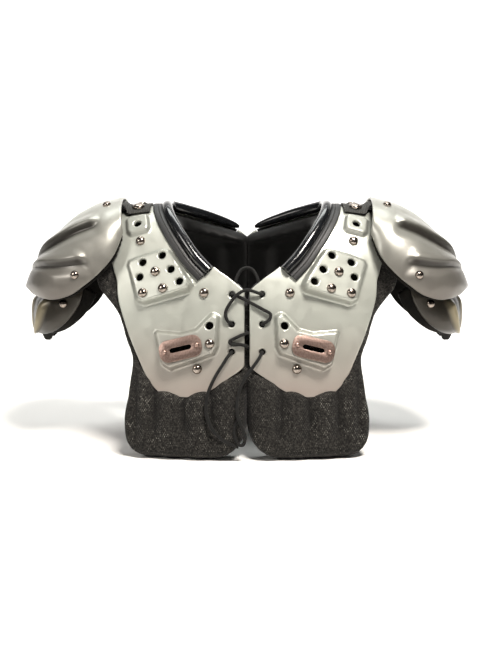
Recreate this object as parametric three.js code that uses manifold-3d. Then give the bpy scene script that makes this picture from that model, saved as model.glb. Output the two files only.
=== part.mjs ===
// A youth football shoulder pad, standing on the hems of its padding.
// Two plastic arches go over the shoulders, from the chest to the back, and are laced together
// down the front and the back. Each arch has foam padding under it, a beaded neck roll, a strap
// over the shoulder, a ribbed shoulder cap on foam, and a smaller arm cap on foam below that.
// Millimetres. +X is the wearer's left, +Y the back and +Z up. Z = 0 is the floor.
import * as THREE from 'three';
import Module from 'manifold-3d';
import { mergeVertices } from 'three/addons/utils/BufferGeometryUtils.js';

const wasm = await Module();
wasm.setup();

// Arch: the form that every piece follows. A station is an angle along it, in degrees:
// 0 at the front hem, 90 on top of the shoulder, 180 at the back hem.
const ARCH_HALF_WIDTH = 150;
const ARCH_HEIGHT = 220;
const ARCH_FRONT_DEPTH = 92;
const ARCH_BACK_DEPTH = 88;
const ARCH_ROUNDNESS = 2.3;
const CHEST_HALF_WIDTH = 200;
const SHOULDER_DROP = 14;
const SHOULDER_LEVEL_HALF_WIDTH = 85;

// Plates
const WALL = 3;
const FIT_GAP = 0.4;

// Padding
const PAD_THICKNESS = 15;
const HEM_PUFF = 8;
const PAD_GAP = 1.3;
const LIP_CURL_FRONT = 14;
const LIP_CURL_BACK = 4;
const LIP_WIDTH = 22;
const LACE_ROOM = 5.4;

// Neck roll
const BEAD_RADIUS = 5;
const BEAD_LIFT = 4.2;
const BEAD_ROOM = 1.4;
const FLANGE_WIDTH = 8;
const FLANGE_THICKNESS = 1.6;
const ROLL_GAP = 1.2;

// Shoulder strap
const STRAP_WIDTH = 46;
const STRAP_THICKNESS = 2;
const STRAP_SLACK = 2;
const STRAP_ROLL_GAP = 1.4;
const STRAP_RIVET_INSET = 5.2;
const STRAP_RIVET_STATIONS = [82, 98];

// Shoulder cap and arm cap
const CAP_WALL = 2.5;
const CAP_STEP = 7;
const CAP_PAD_THICKNESS = 5;
const CAP_PAD_THIN = 2.6;
const CAP_PAD_MARGIN = 3.2;
const ARM_CAP_PAD_THICKNESS = 9;
const ARM_CAP_PAD_MARGIN = 12;
const ARM_CAP_RIB = 4;

// Hardware
const RIVET_RADIUS = 4.4;
const RIVET_HEIGHT = 3.4;
const SMALL_RIVET_RADIUS = 2.2;
const BELT_PLATE_LENGTH = 39;
const BELT_PLATE_WIDTH = 20;
const BELT_PLATE_THICKNESS = 1.6;
const BELT_PLATE_CORNER = 8;
const BELT_SLOT_LENGTH = 20;
const BELT_SLOT_WIDTH = 3.6;
const BELT_PLATE_TURN = -14;
const BELT_RIVET_SPREAD = 15;
const FIXING_HOLE_RADIUS = 3.6;
const RIM_BEVEL = 2.5;

// Lace
const LACE_RADIUS = 1.25;
const LACE_HOLE_RADIUS = 2.7;
const LACE_HOLE_X = 13.5;
const LACE_SIDES = 7;
const LACE_STEP = 7.4;

// Outline of a plate, as shares of ARCH_HALF_WIDTH: its inner and its outer edge at each station.
const PLATE_OUTLINE = [
  { station: 12.0, inner: 0.31, outer: 0.45 },
  { station: 13.2, inner: 0.24, outer: 0.53 },
  { station: 16.2, inner: 0.12, outer: 0.597 },
  { station: 20, inner: 0.015, outer: 0.64 },
  { station: 29, inner: 0.015, outer: 0.722 },
  { station: 39.5, inner: 0.015, outer: 0.78 },
  { station: 43.5, inner: 0.085, outer: 0.785 },
  { station: 47.8, inner: 0.185, outer: 0.805 },
  { station: 56, inner: 0.31, outer: 0.84 },
  { station: 64, inner: 0.39, outer: 0.88 },
  { station: 72, inner: 0.45, outer: 0.905 },
  { station: 80, inner: 0.475, outer: 0.91 },
  { station: 88, inner: 0.48, outer: 0.905 },
  { station: 95, inner: 0.47, outer: 0.905 },
  { station: 101, inner: 0.43, outer: 0.91 },
  { station: 106, inner: 0.34, outer: 0.905 },
  { station: 112.5, inner: 0.18, outer: 0.885 },
  { station: 118, inner: 0.08, outer: 0.86 },
  { station: 121.5, inner: 0.015, outer: 0.845 },
  { station: 131, inner: 0.015, outer: 0.81 },
  { station: 141, inner: 0.015, outer: 0.775 },
  { station: 151, inner: 0.015, outer: 0.72 },
  { station: 160, inner: 0.015, outer: 0.64 },
  { station: 163.8, inner: 0.12, outer: 0.597 },
  { station: 166.8, inner: 0.24, outer: 0.53 },
  { station: 168, inner: 0.31, outer: 0.45 },
];
const NECK_STATIONS = [39.5, 121.5];

// Where the neck roll's flange ends and its bead starts, the same way.
const ROLL_LINE = [
  { station: 45.2, edge: 0.255 },
  { station: 50, edge: 0.333 },
  { station: 56, edge: 0.4 },
  { station: 64, edge: 0.476 },
  { station: 72, edge: 0.537 },
  { station: 80, edge: 0.568 },
  { station: 88, edge: 0.577 },
  { station: 95, edge: 0.566 },
  { station: 101, edge: 0.518 },
  { station: 106, edge: 0.427 },
  { station: 112.5, edge: 0.27 },
  { station: 120, edge: 0.07 },
];

// Outline of a body pad, the same way.
const PAD_OUTLINE = [
  { station: 0, inner: 0.15, outer: 0.66 },
  { station: 1.1, inner: 0.06, outer: 0.71 },
  { station: 2.8, inner: 0.02, outer: 0.745 },
  { station: 6.2, inner: 0.003, outer: 0.735 },
  { station: 9.6, inner: 0.003, outer: 0.715 },
  { station: 11, inner: 0.003, outer: 0.705 },
  { station: 12, inner: 0.003, outer: 0.7 },
  { station: 20, inner: 0.003, outer: 0.7 },
  { station: 26, inner: 0.003, outer: 0.745 },
  { station: 33, inner: 0.003, outer: 0.79 },
  { station: 39.5, inner: 0.003, outer: 0.875 },
  { station: 43.5, inner: 0.03, outer: 0.925 },
  { station: 47.8, inner: 0.13, outer: 0.94 },
  { station: 55, inner: 0.26, outer: 0.955 },
  { station: 64, inner: 0.35, outer: 0.97 },
  { station: 76, inner: 0.42, outer: 0.98 },
  { station: 90, inner: 0.445, outer: 0.985 },
  { station: 99, inner: 0.425, outer: 0.98 },
  { station: 106, inner: 0.32, outer: 0.97 },
  { station: 113, inner: 0.15, outer: 0.957 },
  { station: 119, inner: 0.02, outer: 0.95 },
  { station: 129, inner: 0.003, outer: 0.93 },
  { station: 138, inner: 0.003, outer: 0.88 },
  { station: 148, inner: 0.003, outer: 0.775 },
  { station: 160, inner: 0.003, outer: 0.7 },
  { station: 168, inner: 0.003, outer: 0.7 },
  { station: 169, inner: 0.003, outer: 0.705 },
  { station: 170.4, inner: 0.003, outer: 0.715 },
  { station: 173.8, inner: 0.003, outer: 0.735 },
  { station: 177.2, inner: 0.02, outer: 0.745 },
  { station: 178.9, inner: 0.06, outer: 0.71 },
  { station: 180, inner: 0.15, outer: 0.66 },
];
// The rows on both sides of a plate's foot follow its edge, this far below it in degrees.
const FOOT_ROWS = { 5: 1.5, 6: 0.7 };
const FOOT_STATION_LIMIT = 19;

// Quilted lobes of the front hem: the seams between them, as shares of ARCH_HALF_WIDTH.
const HEM_SEAMS = [0.003, 0.22, 0.38, 0.585, 0.745];
const HEM_SEAM_DEPTH = 4;
const PAD_COLUMNS = 6;
const PLATE_COLUMNS = 4;
const PLATE_TOLERANCE = 0.2;

// Rows of a shoulder cap, as shares of ARCH_HALF_WIDTH across, ARCH_HEIGHT up and
// ARCH_FRONT_DEPTH deep. Each row is an arc over its ridge point, down to an edge point at its
// front and one at its back.
const CAP_ROWS = [
  { ridgeX: 0.78, ridgeZ: 1.055, edgeX: 0.75, edgeZ: 0.915, depth: 0.57 },
  { ridgeX: 0.913, ridgeZ: 1.034, edgeX: 0.802, edgeZ: 0.825, depth: 0.7 },
  { ridgeX: 1.05, ridgeZ: 0.99, edgeX: 0.877, edgeZ: 0.762, depth: 0.765 },
  { ridgeX: 1.175, ridgeZ: 0.922, edgeX: 0.965, edgeZ: 0.71, depth: 0.798 },
  { ridgeX: 1.28, ridgeZ: 0.845, edgeX: 1.075, edgeZ: 0.66, depth: 0.77 },
  { ridgeX: 1.343, ridgeZ: 0.765, edgeX: 1.195, edgeZ: 0.64, depth: 0.65 },
  { ridgeX: 1.373, ridgeZ: 0.712, edgeX: 1.3, edgeZ: 0.648, depth: 0.43 },
  { ridgeX: 1.388, ridgeZ: 0.682, edgeX: 1.372, edgeZ: 0.67, depth: 0.22 },
];
// Lines on a row that the cap's columns follow, in degrees from its ridge. The pressed steps lie
// between the lines marked as step edges, and fan out from the neck side to the arm side.
const CAP_LINES = [
  { near: 0, far: 0, level: 2 },
  { near: 38, far: 10, level: 2 },
  { near: 48, far: 22, level: 1 },
  { near: 58, far: 38, level: 1 },
  { near: 68, far: 50, level: 0 },
  { near: 80, far: 70, level: 0 },
  { near: 90, far: 90, level: 0 },
];

// Rows of an arm cap, the same way.
const ARM_CAP_ROWS = [
  { ridgeX: 1.192, ridgeZ: 0.755, edgeX: 1.0, edgeZ: 0.685, depth: 0.553 },
  { ridgeX: 1.307, ridgeZ: 0.648, edgeX: 1.015, edgeZ: 0.637, depth: 0.573 },
  { ridgeX: 1.352, ridgeZ: 0.603, edgeX: 1.055, edgeZ: 0.585, depth: 0.57 },
  { ridgeX: 1.362, ridgeZ: 0.55, edgeX: 1.11, edgeZ: 0.54, depth: 0.55 },
  { ridgeX: 1.36, ridgeZ: 0.505, edgeX: 1.185, edgeZ: 0.5, depth: 0.47 },
  { ridgeX: 1.352, ridgeZ: 0.48, edgeX: 1.255, edgeZ: 0.477, depth: 0.34 },
  { ridgeX: 1.345, ridgeZ: 0.468, edgeX: 1.31, edgeZ: 0.466, depth: 0.18 },
];

// Places on the front of a plate: share of ARCH_HALF_WIDTH across, and station.
const LACE_HOLE_STATIONS = [39, 30.3, 23];
const BACK_LACE_HOLE_STATIONS = [130, 146];
const FRONT_RIVETS = {
  shoulder: { across: 0.645, station: 58.9 },
  neck: { across: 0.255, station: 39.4 },
  chest: { across: 0.295, station: 18.7 },
};
const BACK_RIVETS = {
  neck: { across: 0.255, station: 137 },
  waist: { across: 0.295, station: 161.3 },
};

// Pressed bosses of a plate. Outlines, holes and rivets are (p, q) places in millimetres from the
// boss's centre: p along +X and q up along the arch. slopeP and slopeQ tilt the flat top.
const FIXING_BOSS = {
  across: 0.54, station: 45.5, rise: 5.2, slopeP: -0.13, slopeQ: 0.07,
  outline: [[27, 10], [26, 13], [-6, 24.5], [-11, 24], [-32.5, -11], [-31, -14.5], [12, -26.5], [17, -24]],
  holes: [[12.8, 10.5], [-5.2, 17], [15, -3.6], [-13.7, 2.9], [-22, -8.3]],
  rivets: [[0.3, 0.8], [11, -18], [-7.3, -14.3]],
};
const SHOULDER_BOSS = {
  across: 0.657, station: 68.4, rise: 3.4, slopeP: -0.1, slopeQ: 0.0,
  outline: [[13, 7], [11, 9], [-5, 10.5], [-7, 9.5], [-9.5, -7], [-8.5, -9], [8, -12], [10.5, -10]],
  holes: [[1.5, -1.5]],
  rivets: [],
};
const BELT_BOSS = {
  across: 0.375, station: 24.8, rise: 6.2, slopeP: -0.05, slopeQ: 0.16,
  outline: [[26, 9.5], [5, 8.5], [-14, 14], [-28, 29], [-31, 27], [-31, -2], [-28, -8], [13, -21.5], [19, -18]],
  holes: [[-23.5, 17.5]],
  rivets: [[-24.5, 1]],
};
const BELT_PLATE_CENTRE = [1.5, -4];

// Lace routes, as [x in millimetres, station, height over the arch in millimetres].
const FRONT_LACE_ROUTE = [
  [-13.5, 23, 1.2], [-13.4, 23, -1], [-11, 23.6, -2.7], [-4.5, 25.4, -2.9], [3, 27.5, -2.9], [10.5, 29.6, -2.8],
  [13.3, 30.3, -0.8], [13.6, 30.3, 2.6], [15.4, 30.6, 5.2], [20, 31.6, 6], [20.6, 33, 6.2], [14, 34.3, 6.2],
  [6.5, 35.7, 5.9], [-1.5, 37.1, 5.6], [-9, 38.4, 5.3], [-12.9, 39.1, 4.4], [-13.6, 39.2, 1.8], [-13.2, 39.5, -1.2],
  [-11.4, 42, -3], [-8.8, 45.6, -3.8], [-4.6, 48.2, -4], [0, 48.9, -4], [4.6, 48.2, -4], [8.8, 45.6, -3.8],
  [11.4, 42, -3], [13.2, 39.5, -1.2], [13.6, 39.1, 2.4], [12.2, 38.9, 5.4], [6.8, 39.4, 8.2], [-0.5, 39.9, 9.5],
  [-8, 38.6, 9.6], [-14.8, 36, 8.6], [-18.8, 33.4, 7.2], [-17.4, 31.3, 5.8], [-13.9, 30.4, 3], [-13.2, 30.2, -1],
  [-10.5, 29.8, -2.8], [-2.8, 28.6, -3.4], [0, 28.2, -1.2], [0, 27.9, 3.4], [-3.4, 27.5, 5.5], [-10, 26.6, 5.7],
  [-15.2, 25.7, 5.4], [-13.6, 24.9, 5.3], [-6.5, 24.9, 5.6], [-0.8, 24.6, 4.8], [0, 24.4, 0.4], [2.4, 24.1, -3.2],
  [9.5, 23.3, -3.1], [13.2, 23, -1.2], [13.5, 23, 1.2],
];
const LACE_TAIL_RIGHT_ROUTE = [
  [-13.5, 23, 2.1], [-13.7, 22.9, 4.6], [-17, 21.8, 8.2], [-21, 20, 9.2], [-26.5, 17.6, 9.6], [-31.5, 15, 9.8],
  [-35, 12.2, 10.4], [-35.4, 9.2, 10.8], [-33, 7, 11], [-28, 5.2, 11.1], [-21.5, 3.8, 10.8], [-14, 2.9, 10.6],
  [-7.5, 2.4, 10.2],
];
const LACE_TAIL_LEFT_ROUTE = [
  [13.5, 23, 2.1], [13.3, 22.9, 4.6], [9.8, 21.2, 8.4], [4, 19, 9.4], [-1.6, 16.8, 9.8], [-6, 14.4, 10.2],
  [-8.4, 12, 10.8], [-8.6, 9.6, 12.8], [-6.6, 7.6, 14.4], [-3.4, 6, 13.8], [-1.8, 4.2, 12], [-3.6, 2.8, 10.9],
  [-7.6, 2.9, 10.8], [-10.4, 4.2, 10.8], [-11, 5.8, 10.9], [-9, 7.3, 11], [-5.8, 8.2, 10.9],
];
const BACK_LACE_ROUTE = [
  [-5, 146, -3.7], [-10.6, 146, -3.6], [-13.1, 146, -1.6], [-13.3, 146, 2.6], [-10.2, 146, 5], [0, 146, 5.4],
  [10.2, 146, 5], [13.3, 146, 2.6], [13.4, 145.9, -1.2], [13.3, 143.8, -3.4], [13.3, 138, -3.5],
  [13.3, 132.2, -3.4], [13.4, 130.1, -1.2], [13.3, 130, 2.6], [10.2, 130, 5], [0, 130, 5.4], [-10.2, 130, 5],
  [-13.3, 130, 2.6], [-13.1, 130, -1.6], [-10.6, 130, -3.6], [-5, 130, -3.7],
];

// Finishes
const silver = new THREE.MeshStandardMaterial({ color: 0xc9c6bd, roughness: 0.38, metalness: 0.35 });
const silverCap = new THREE.MeshStandardMaterial({ color: 0xa19c94, roughness: 0.35, metalness: 0.4 });
const meshCloth = new THREE.MeshStandardMaterial({ color: 0x23221f, roughness: 0.95, metalness: 0 });
const foam = new THREE.MeshStandardMaterial({ color: 0x15130f, roughness: 0.9, metalness: 0 });
const vinyl = new THREE.MeshStandardMaterial({ color: 0x1d1e20, roughness: 0.3, metalness: 0 });
const webbing = new THREE.MeshStandardMaterial({ color: 0x2b2b29, roughness: 0.85, metalness: 0 });
const steel = new THREE.MeshStandardMaterial({ color: 0xb9aca4, roughness: 0.22, metalness: 1 });
const aluminium = new THREE.MeshStandardMaterial({ color: 0xa99c96, roughness: 0.4, metalness: 1 });
const cord = new THREE.MeshStandardMaterial({ color: 0x14120f, roughness: 0.8, metalness: 0 });

const radians = THREE.MathUtils.degToRad;
const mix = THREE.MathUtils.lerp;

// Height of the arch at x: level at the neck, and falling towards the arm.
function archHeight(x) {
  const past = Math.max(0, Math.abs(x) - SHOULDER_LEVEL_HALF_WIDTH);
  return ARCH_HEIGHT - SHOULDER_DROP * (past / (ARCH_HALF_WIDTH - SHOULDER_LEVEL_HALF_WIDTH)) ** 2;
}

// How far the chest or the back stands from the middle of the shoulder, at x.
function archDepth(x, station) {
  const depth = station < 90 ? ARCH_FRONT_DEPTH : ARCH_BACK_DEPTH;
  return depth * Math.sqrt(1 - (x / CHEST_HALF_WIDTH) ** 2);
}

function archPoint(x, station) {
  const turn = radians(station);
  const out = Math.abs(Math.cos(turn)) ** (2 / ARCH_ROUNDNESS);
  const up = Math.abs(Math.sin(turn)) ** (2 / ARCH_ROUNDNESS);
  const y = -Math.sign(Math.cos(turn)) * archDepth(x, station) * out;
  return new THREE.Vector3(x, y, archHeight(x) * up);
}

// Directions at a point of the arch: across (+X), along (station rising) and outwards.
function archFrame(x, station) {
  const dx = 0.5;
  const ds = 0.5;
  const s = THREE.MathUtils.clamp(station, ds, 180 - ds);
  const across = archPoint(x + dx, s).sub(archPoint(x - dx, s));
  const along = archPoint(x, s + ds).sub(archPoint(x, s - ds));
  const rate = along.length() / (2 * ds);
  across.normalize();
  along.normalize();
  const out = new THREE.Vector3().crossVectors(across, along).normalize();
  if (station < ds || station > 180 - ds) {
    out.z = 0;
    out.normalize();
  }
  return { across, along, out, rate };
}

function onArch(x, station, height) {
  return archPoint(x, station).addScaledVector(archFrame(x, station).out, height);
}

// Value of a table's column at a station, on straight lines between its rows.
function tableValue(table, station, column) {
  const last = table.length - 1;
  if (station <= table[0].station) return table[0][column];
  if (station >= table[last].station) return table[last][column];
  const i = table.findIndex((row) => row.station > station);
  const share = (station - table[i - 1].station) / (table[i].station - table[i - 1].station);
  return mix(table[i - 1][column], table[i][column], share);
}

// Station of the arch at a depth y on the cross-section at x.
function stationAt(x, y) {
  const share = Math.abs(y) / archDepth(x, y < 0 ? 0 : 180);
  const station = THREE.MathUtils.radToDeg(Math.acos(share ** (ARCH_ROUNDNESS / 2)));
  return y < 0 ? station : 180 - station;
}

function geometryFrom(points, faces) {
  const geometry = new THREE.BufferGeometry();
  geometry.setAttribute('position', new THREE.Float32BufferAttribute(points.flatMap((p) => [p.x, p.y, p.z]), 3));
  geometry.setIndex(faces.flat());
  return geometry;
}

// Closed solid between an outer and an inner skin, each a grid of the same rows and columns.
// skin(row, column, face) gives a point, with face 0 the outer skin and 1 the inner one.
function shell(rows, columns, skin) {
  const points = [];
  for (const face of [0, 1])
    for (let i = 0; i < rows; i++)
      for (let j = 0; j < columns; j++) points.push(skin(i, j, face));
  const at = (i, j, face) => face * rows * columns + i * columns + j;
  const faces = [];
  const quad = (a, b, c, d) => faces.push([a, b, c], [a, c, d]);
  for (let i = 0; i + 1 < rows; i++)
    for (let j = 0; j + 1 < columns; j++) {
      quad(at(i, j, 0), at(i, j + 1, 0), at(i + 1, j + 1, 0), at(i + 1, j, 0));
      quad(at(i, j, 1), at(i + 1, j, 1), at(i + 1, j + 1, 1), at(i, j + 1, 1));
    }
  for (let i = 0; i + 1 < rows; i++) {
    quad(at(i, 0, 0), at(i + 1, 0, 0), at(i + 1, 0, 1), at(i, 0, 1));
    const j = columns - 1;
    quad(at(i + 1, j, 0), at(i, j, 0), at(i, j, 1), at(i + 1, j, 1));
  }
  for (let j = 0; j + 1 < columns; j++) {
    quad(at(0, j + 1, 0), at(0, j, 0), at(0, j, 1), at(0, j + 1, 1));
    const i = rows - 1;
    quad(at(i, j, 0), at(i, j + 1, 0), at(i, j + 1, 1), at(i, j, 1));
  }
  return geometryFrom(points, faces);
}

// Closed solid through rings of points, with flat ends cut into triangles as outline is.
function loft(rings, outline) {
  const count = outline.length;
  const faces = [];
  for (let i = 0; i + 1 < rings.length; i++)
    for (let j = 0; j < count; j++) {
      const a = i * count + j;
      const b = i * count + ((j + 1) % count);
      faces.push([a, b, b + count], [a, b + count, a + count]);
    }
  const last = (rings.length - 1) * count;
  for (const [a, b, c] of THREE.ShapeUtils.triangulateShape(outline, [])) {
    faces.push([c, b, a], [last + a, last + b, last + c]);
  }
  return geometryFrom(rings.flat(), faces);
}

function solidOf(geometry) {
  const plain = geometry.clone();
  plain.deleteAttribute('normal');
  plain.deleteAttribute('uv');
  const merged = mergeVertices(plain, 1e-4);
  const mesh = new wasm.Mesh({
    numProp: 3,
    vertProperties: new Float32Array(merged.attributes.position.array),
    triVerts: new Uint32Array(merged.index.array),
  });
  mesh.merge();
  return new wasm.Manifold(mesh);
}

function geometryOf(solid) {
  const mesh = solid.getMesh();
  const geometry = new THREE.BufferGeometry();
  geometry.setAttribute('position', new THREE.BufferAttribute(new Float32Array(mesh.vertProperties), 3));
  geometry.setIndex(new THREE.BufferAttribute(new Uint32Array(mesh.triVerts), 1));
  return geometry;
}

// The same geometry on the wearer's other side.
function mirrored(geometry) {
  const other = geometry.clone();
  other.scale(-1, 1, 1);
  const index = other.index.array;
  for (let i = 0; i < index.length; i += 3) [index[i], index[i + 1]] = [index[i + 1], index[i]];
  return other;
}

// Round bar along a direction, to cut a hole.
function bar(centre, direction, radius, length, sides) {
  const geometry = new THREE.CylinderGeometry(radius, radius, length, sides);
  geometry.applyQuaternion(new THREE.Quaternion().setFromUnitVectors(new THREE.Vector3(0, 1, 0), direction));
  geometry.translate(centre.x, centre.y, centre.z);
  return solidOf(geometry);
}

// Frame of a boss's flat top, on the front of the arch or, with back set, at its twin place behind.
function bossFrame(boss, back) {
  const x = boss.across * ARCH_HALF_WIDTH;
  const station = back ? 180 - boss.station : boss.station;
  const { across, along, out, rate } = archFrame(x, station);
  const up = back ? along.clone().negate() : along;
  const normal = out.clone().addScaledVector(across, -boss.slopeP).addScaledVector(up, boss.slopeQ).normalize();
  const centre = onArch(x, station, WALL + boss.rise);
  const place = (p, q, height) => onArch(x + p, station + ((back ? -1 : 1) * q) / rate, height);
  // Point of the flat top over the place (p, q), at a height over it.
  const top = (p, q, height = 0) => {
    const under = place(p, q, WALL);
    const reach = centre.clone().sub(under).dot(normal) / out.dot(normal);
    return under.addScaledVector(out, Math.max(reach, 0.4)).addScaledVector(normal, height);
  };
  return { across, up, out, normal, place, top };
}

// Raised boss: from inside the plate's wall to its flat top, with sloping sides.
function bossSolid(boss, back) {
  const frame = bossFrame(boss, back);
  const centreP = boss.outline.reduce((sum, [p]) => sum + p, 0) / boss.outline.length;
  const centreQ = boss.outline.reduce((sum, [, q]) => sum + q, 0) / boss.outline.length;
  const spread = (p, q, by) => {
    const reach = Math.hypot(p - centreP, q - centreQ);
    return [p + ((p - centreP) / reach) * by, q + ((q - centreQ) / reach) * by];
  };
  const foot = boss.outline.map(([p, q]) => frame.place(...spread(p, q, RIM_BEVEL), WALL / 2));
  const top = boss.outline.map(([p, q]) => frame.top(p, q));
  const outline = boss.outline.map(([p, q]) => new THREE.Vector2(p, q));
  const rings = [foot, top];
  if (back) {
    rings.forEach((ring) => ring.reverse());
    outline.reverse().forEach((v) => v.setX(-v.x));
  }
  return solidOf(loft(rings, outline));
}

function plateGrid() {
  return shell(PLATE_OUTLINE.length, PLATE_COLUMNS + 1, (i, j, face) => {
    const { station, inner, outer } = PLATE_OUTLINE[i];
    const x = mix(inner, outer, j / PLATE_COLUMNS) * ARCH_HALF_WIDTH;
    return onArch(x, station, face === 0 ? WALL : 0);
  });
}

function plate() {
  let solid = solidOf(plateGrid()).subtract(solidOf(rollRoom()));
  const holes = [];
  for (const [boss, back] of [[FIXING_BOSS, false], [SHOULDER_BOSS, false], [BELT_BOSS, false], [BELT_BOSS, true]]) {
    solid = solid.add(bossSolid(boss, back));
    const frame = bossFrame(boss, back);
    for (const [p, q] of boss.holes)
      holes.push(bar(frame.top(p, q), frame.normal, FIXING_HOLE_RADIUS, 40, 8));
  }
  for (const station of [...LACE_HOLE_STATIONS, ...BACK_LACE_HOLE_STATIONS]) {
    const out = archFrame(LACE_HOLE_X, station).out;
    holes.push(bar(onArch(LACE_HOLE_X, station, 0), out, LACE_HOLE_RADIUS, 30, 8));
  }
  for (const hole of holes) solid = solid.subtract(hole);
  for (const back of [false, true]) solid = solid.subtract(beltPocket(back));
  return geometryOf(solid.simplify(PLATE_TOLERANCE));
}

// Direction frame of a belt plate on its boss.
function beltFrame(back) {
  const frame = bossFrame(BELT_BOSS, back);
  const turn = radians(BELT_PLATE_TURN);
  const flatAcross = frame.across.clone().addScaledVector(frame.normal, -frame.across.dot(frame.normal)).normalize();
  const flatUp = new THREE.Vector3().crossVectors(frame.normal, flatAcross);
  if (back) flatUp.negate();
  const long = flatAcross.clone().multiplyScalar(Math.cos(turn)).addScaledVector(flatUp, Math.sin(turn));
  const wide = new THREE.Vector3().crossVectors(frame.normal, long);
  return { centre: frame.top(...BELT_PLATE_CENTRE), long, wide, normal: frame.normal };
}

function placedOnBelt(geometry, back, height) {
  const { centre, long, wide, normal } = beltFrame(back);
  const at = centre.clone().addScaledVector(normal, height);
  return geometry.applyMatrix4(new THREE.Matrix4().makeBasis(long, wide, normal).setPosition(at));
}

// Room behind the slot for a belt's hook.
function beltPocket(back) {
  const depth = BELT_BOSS.rise;
  const pocket = new THREE.BoxGeometry(BELT_SLOT_LENGTH + 1, BELT_SLOT_WIDTH + 3, depth);
  return solidOf(placedOnBelt(pocket, back, 0));
}

// Stamped plate with a slot, and its two rivet heads set into it.
function beltPlate(back) {
  const corner = BELT_PLATE_CORNER;
  const halfLength = BELT_PLATE_LENGTH / 2 - corner;
  const halfWidth = BELT_PLATE_WIDTH / 2 - corner;
  const shape = new THREE.Shape();
  shape.absarc(halfLength, halfWidth, corner, 0, Math.PI / 2);
  shape.absarc(-halfLength, halfWidth, corner, Math.PI / 2, Math.PI);
  shape.absarc(-halfLength, -halfWidth, corner, Math.PI, 1.5 * Math.PI);
  shape.absarc(halfLength, -halfWidth, corner, 1.5 * Math.PI, 2 * Math.PI);
  const slot = new THREE.Path();
  const slotEnd = (BELT_SLOT_LENGTH - BELT_SLOT_WIDTH) / 2;
  slot.absarc(slotEnd, 0, BELT_SLOT_WIDTH / 2, -Math.PI / 2, Math.PI / 2);
  slot.absarc(-slotEnd, 0, BELT_SLOT_WIDTH / 2, Math.PI / 2, 1.5 * Math.PI);
  shape.holes.push(slot);
  const flat = new THREE.ExtrudeGeometry(shape, { depth: BELT_PLATE_THICKNESS, bevelEnabled: false, curveSegments: 2 });
  let solid = solidOf(flat);
  for (const side of [-1, 1]) {
    const head = new THREE.SphereGeometry(SMALL_RIVET_RADIUS, 6, 4);
    head.rotateX(Math.PI / 2);
    head.scale(1, 1, 0.8);
    head.translate(side * BELT_RIVET_SPREAD, 0, BELT_PLATE_THICKNESS);
    solid = solid.add(solidOf(head).trimByPlane([0, 0, 1], BELT_PLATE_THICKNESS / 2));
  }
  return placedOnBelt(geometryOf(solid), back, FIT_GAP);
}

// Station of a plate's foot edge at x, on the front.
function footStation(x) {
  for (let station = PLATE_OUTLINE[0].station; station < FOOT_STATION_LIMIT; station += 0.25) {
    const inner = tableValue(PLATE_OUTLINE, station, 'inner') * ARCH_HALF_WIDTH;
    const outer = tableValue(PLATE_OUTLINE, station, 'outer') * ARCH_HALF_WIDTH;
    if (x > inner - PAD_GAP && x < outer + PAD_GAP) return station;
  }
  return FOOT_STATION_LIMIT;
}

// Height over the arch of a body pad's outer face, below a plate's foot: quilted into lobes.
function hemHeight(x, fromHem) {
  const share = x / ARCH_HALF_WIDTH;
  const edge = Math.max(1, HEM_SEAMS.findIndex((seam) => seam > share));
  const lobe = Math.sin((Math.PI * (share - HEM_SEAMS[edge - 1])) / (HEM_SEAMS[edge] - HEM_SEAMS[edge - 1]));
  return HEM_PUFF - HEM_SEAM_DEPTH * (1 - Math.abs(lobe) ** 0.6) * THREE.MathUtils.smoothstep(fromHem, 0, 9);
}

// Height over the arch of a body pad's outer face, under the plate and in the neck opening.
function padHeight(x, station) {
  const onFront = station < 90;
  const neckLow = onFront ? ROLL_LINE[0] : ROLL_LINE[ROLL_LINE.length - 1];
  const inNeck = station > NECK_STATIONS[0] && station < NECK_STATIONS[1];
  const past = onFront ? station > neckLow.station : station < neckLow.station;
  const neckEdge = past ? tableValue(ROLL_LINE, station, 'edge') : tableValue(PLATE_OUTLINE, station, 'inner');
  const fromEdge = inNeck ? neckEdge * ARCH_HALF_WIDTH - x : -LIP_WIDTH;
  const overhang = Math.max(0, fromEdge);
  const underBead = BEAD_ROOM * THREE.MathUtils.clamp((fromEdge + LIP_WIDTH) / 10, 0, 1);
  const lipCurl = mix(LIP_CURL_FRONT, LIP_CURL_BACK, THREE.MathUtils.smoothstep(station, 80, 105));
  const curl = lipCurl * Math.min(1, overhang / LIP_WIDTH) ** 1.5;
  const laced = inNeck ? (onFront ? 1 - THREE.MathUtils.smoothstep(station, 48, 55) : 0) : 1;
  const laceRoom = laced * LACE_ROOM * THREE.MathUtils.clamp((0.2 - x / ARCH_HALF_WIDTH) / 0.07, 0, 1);
  return -PAD_GAP - underBead - curl - laceRoom;
}

function bodyPad() {
  const rows = PAD_OUTLINE.length;
  return shell(rows, PAD_COLUMNS + 1, (i, j, face) => {
    const { station, inner, outer } = PAD_OUTLINE[i];
    const x = mix(inner, outer, j / PAD_COLUMNS) * ARCH_HALF_WIDTH;
    const fromEnd = Math.min(i, rows - 1 - i);
    const below = FOOT_ROWS[fromEnd];
    const fromHem = below ? footStation(x) - below : Math.min(station, 180 - station);
    const here = station < 90 ? fromHem : 180 - fromHem;
    const top = fromEnd <= 5 ? hemHeight(x, fromHem) : padHeight(x, here);
    return onArch(x, here, face === 0 ? top : Math.min(top, -PAD_GAP) - PAD_THICKNESS);
  });
}

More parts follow.
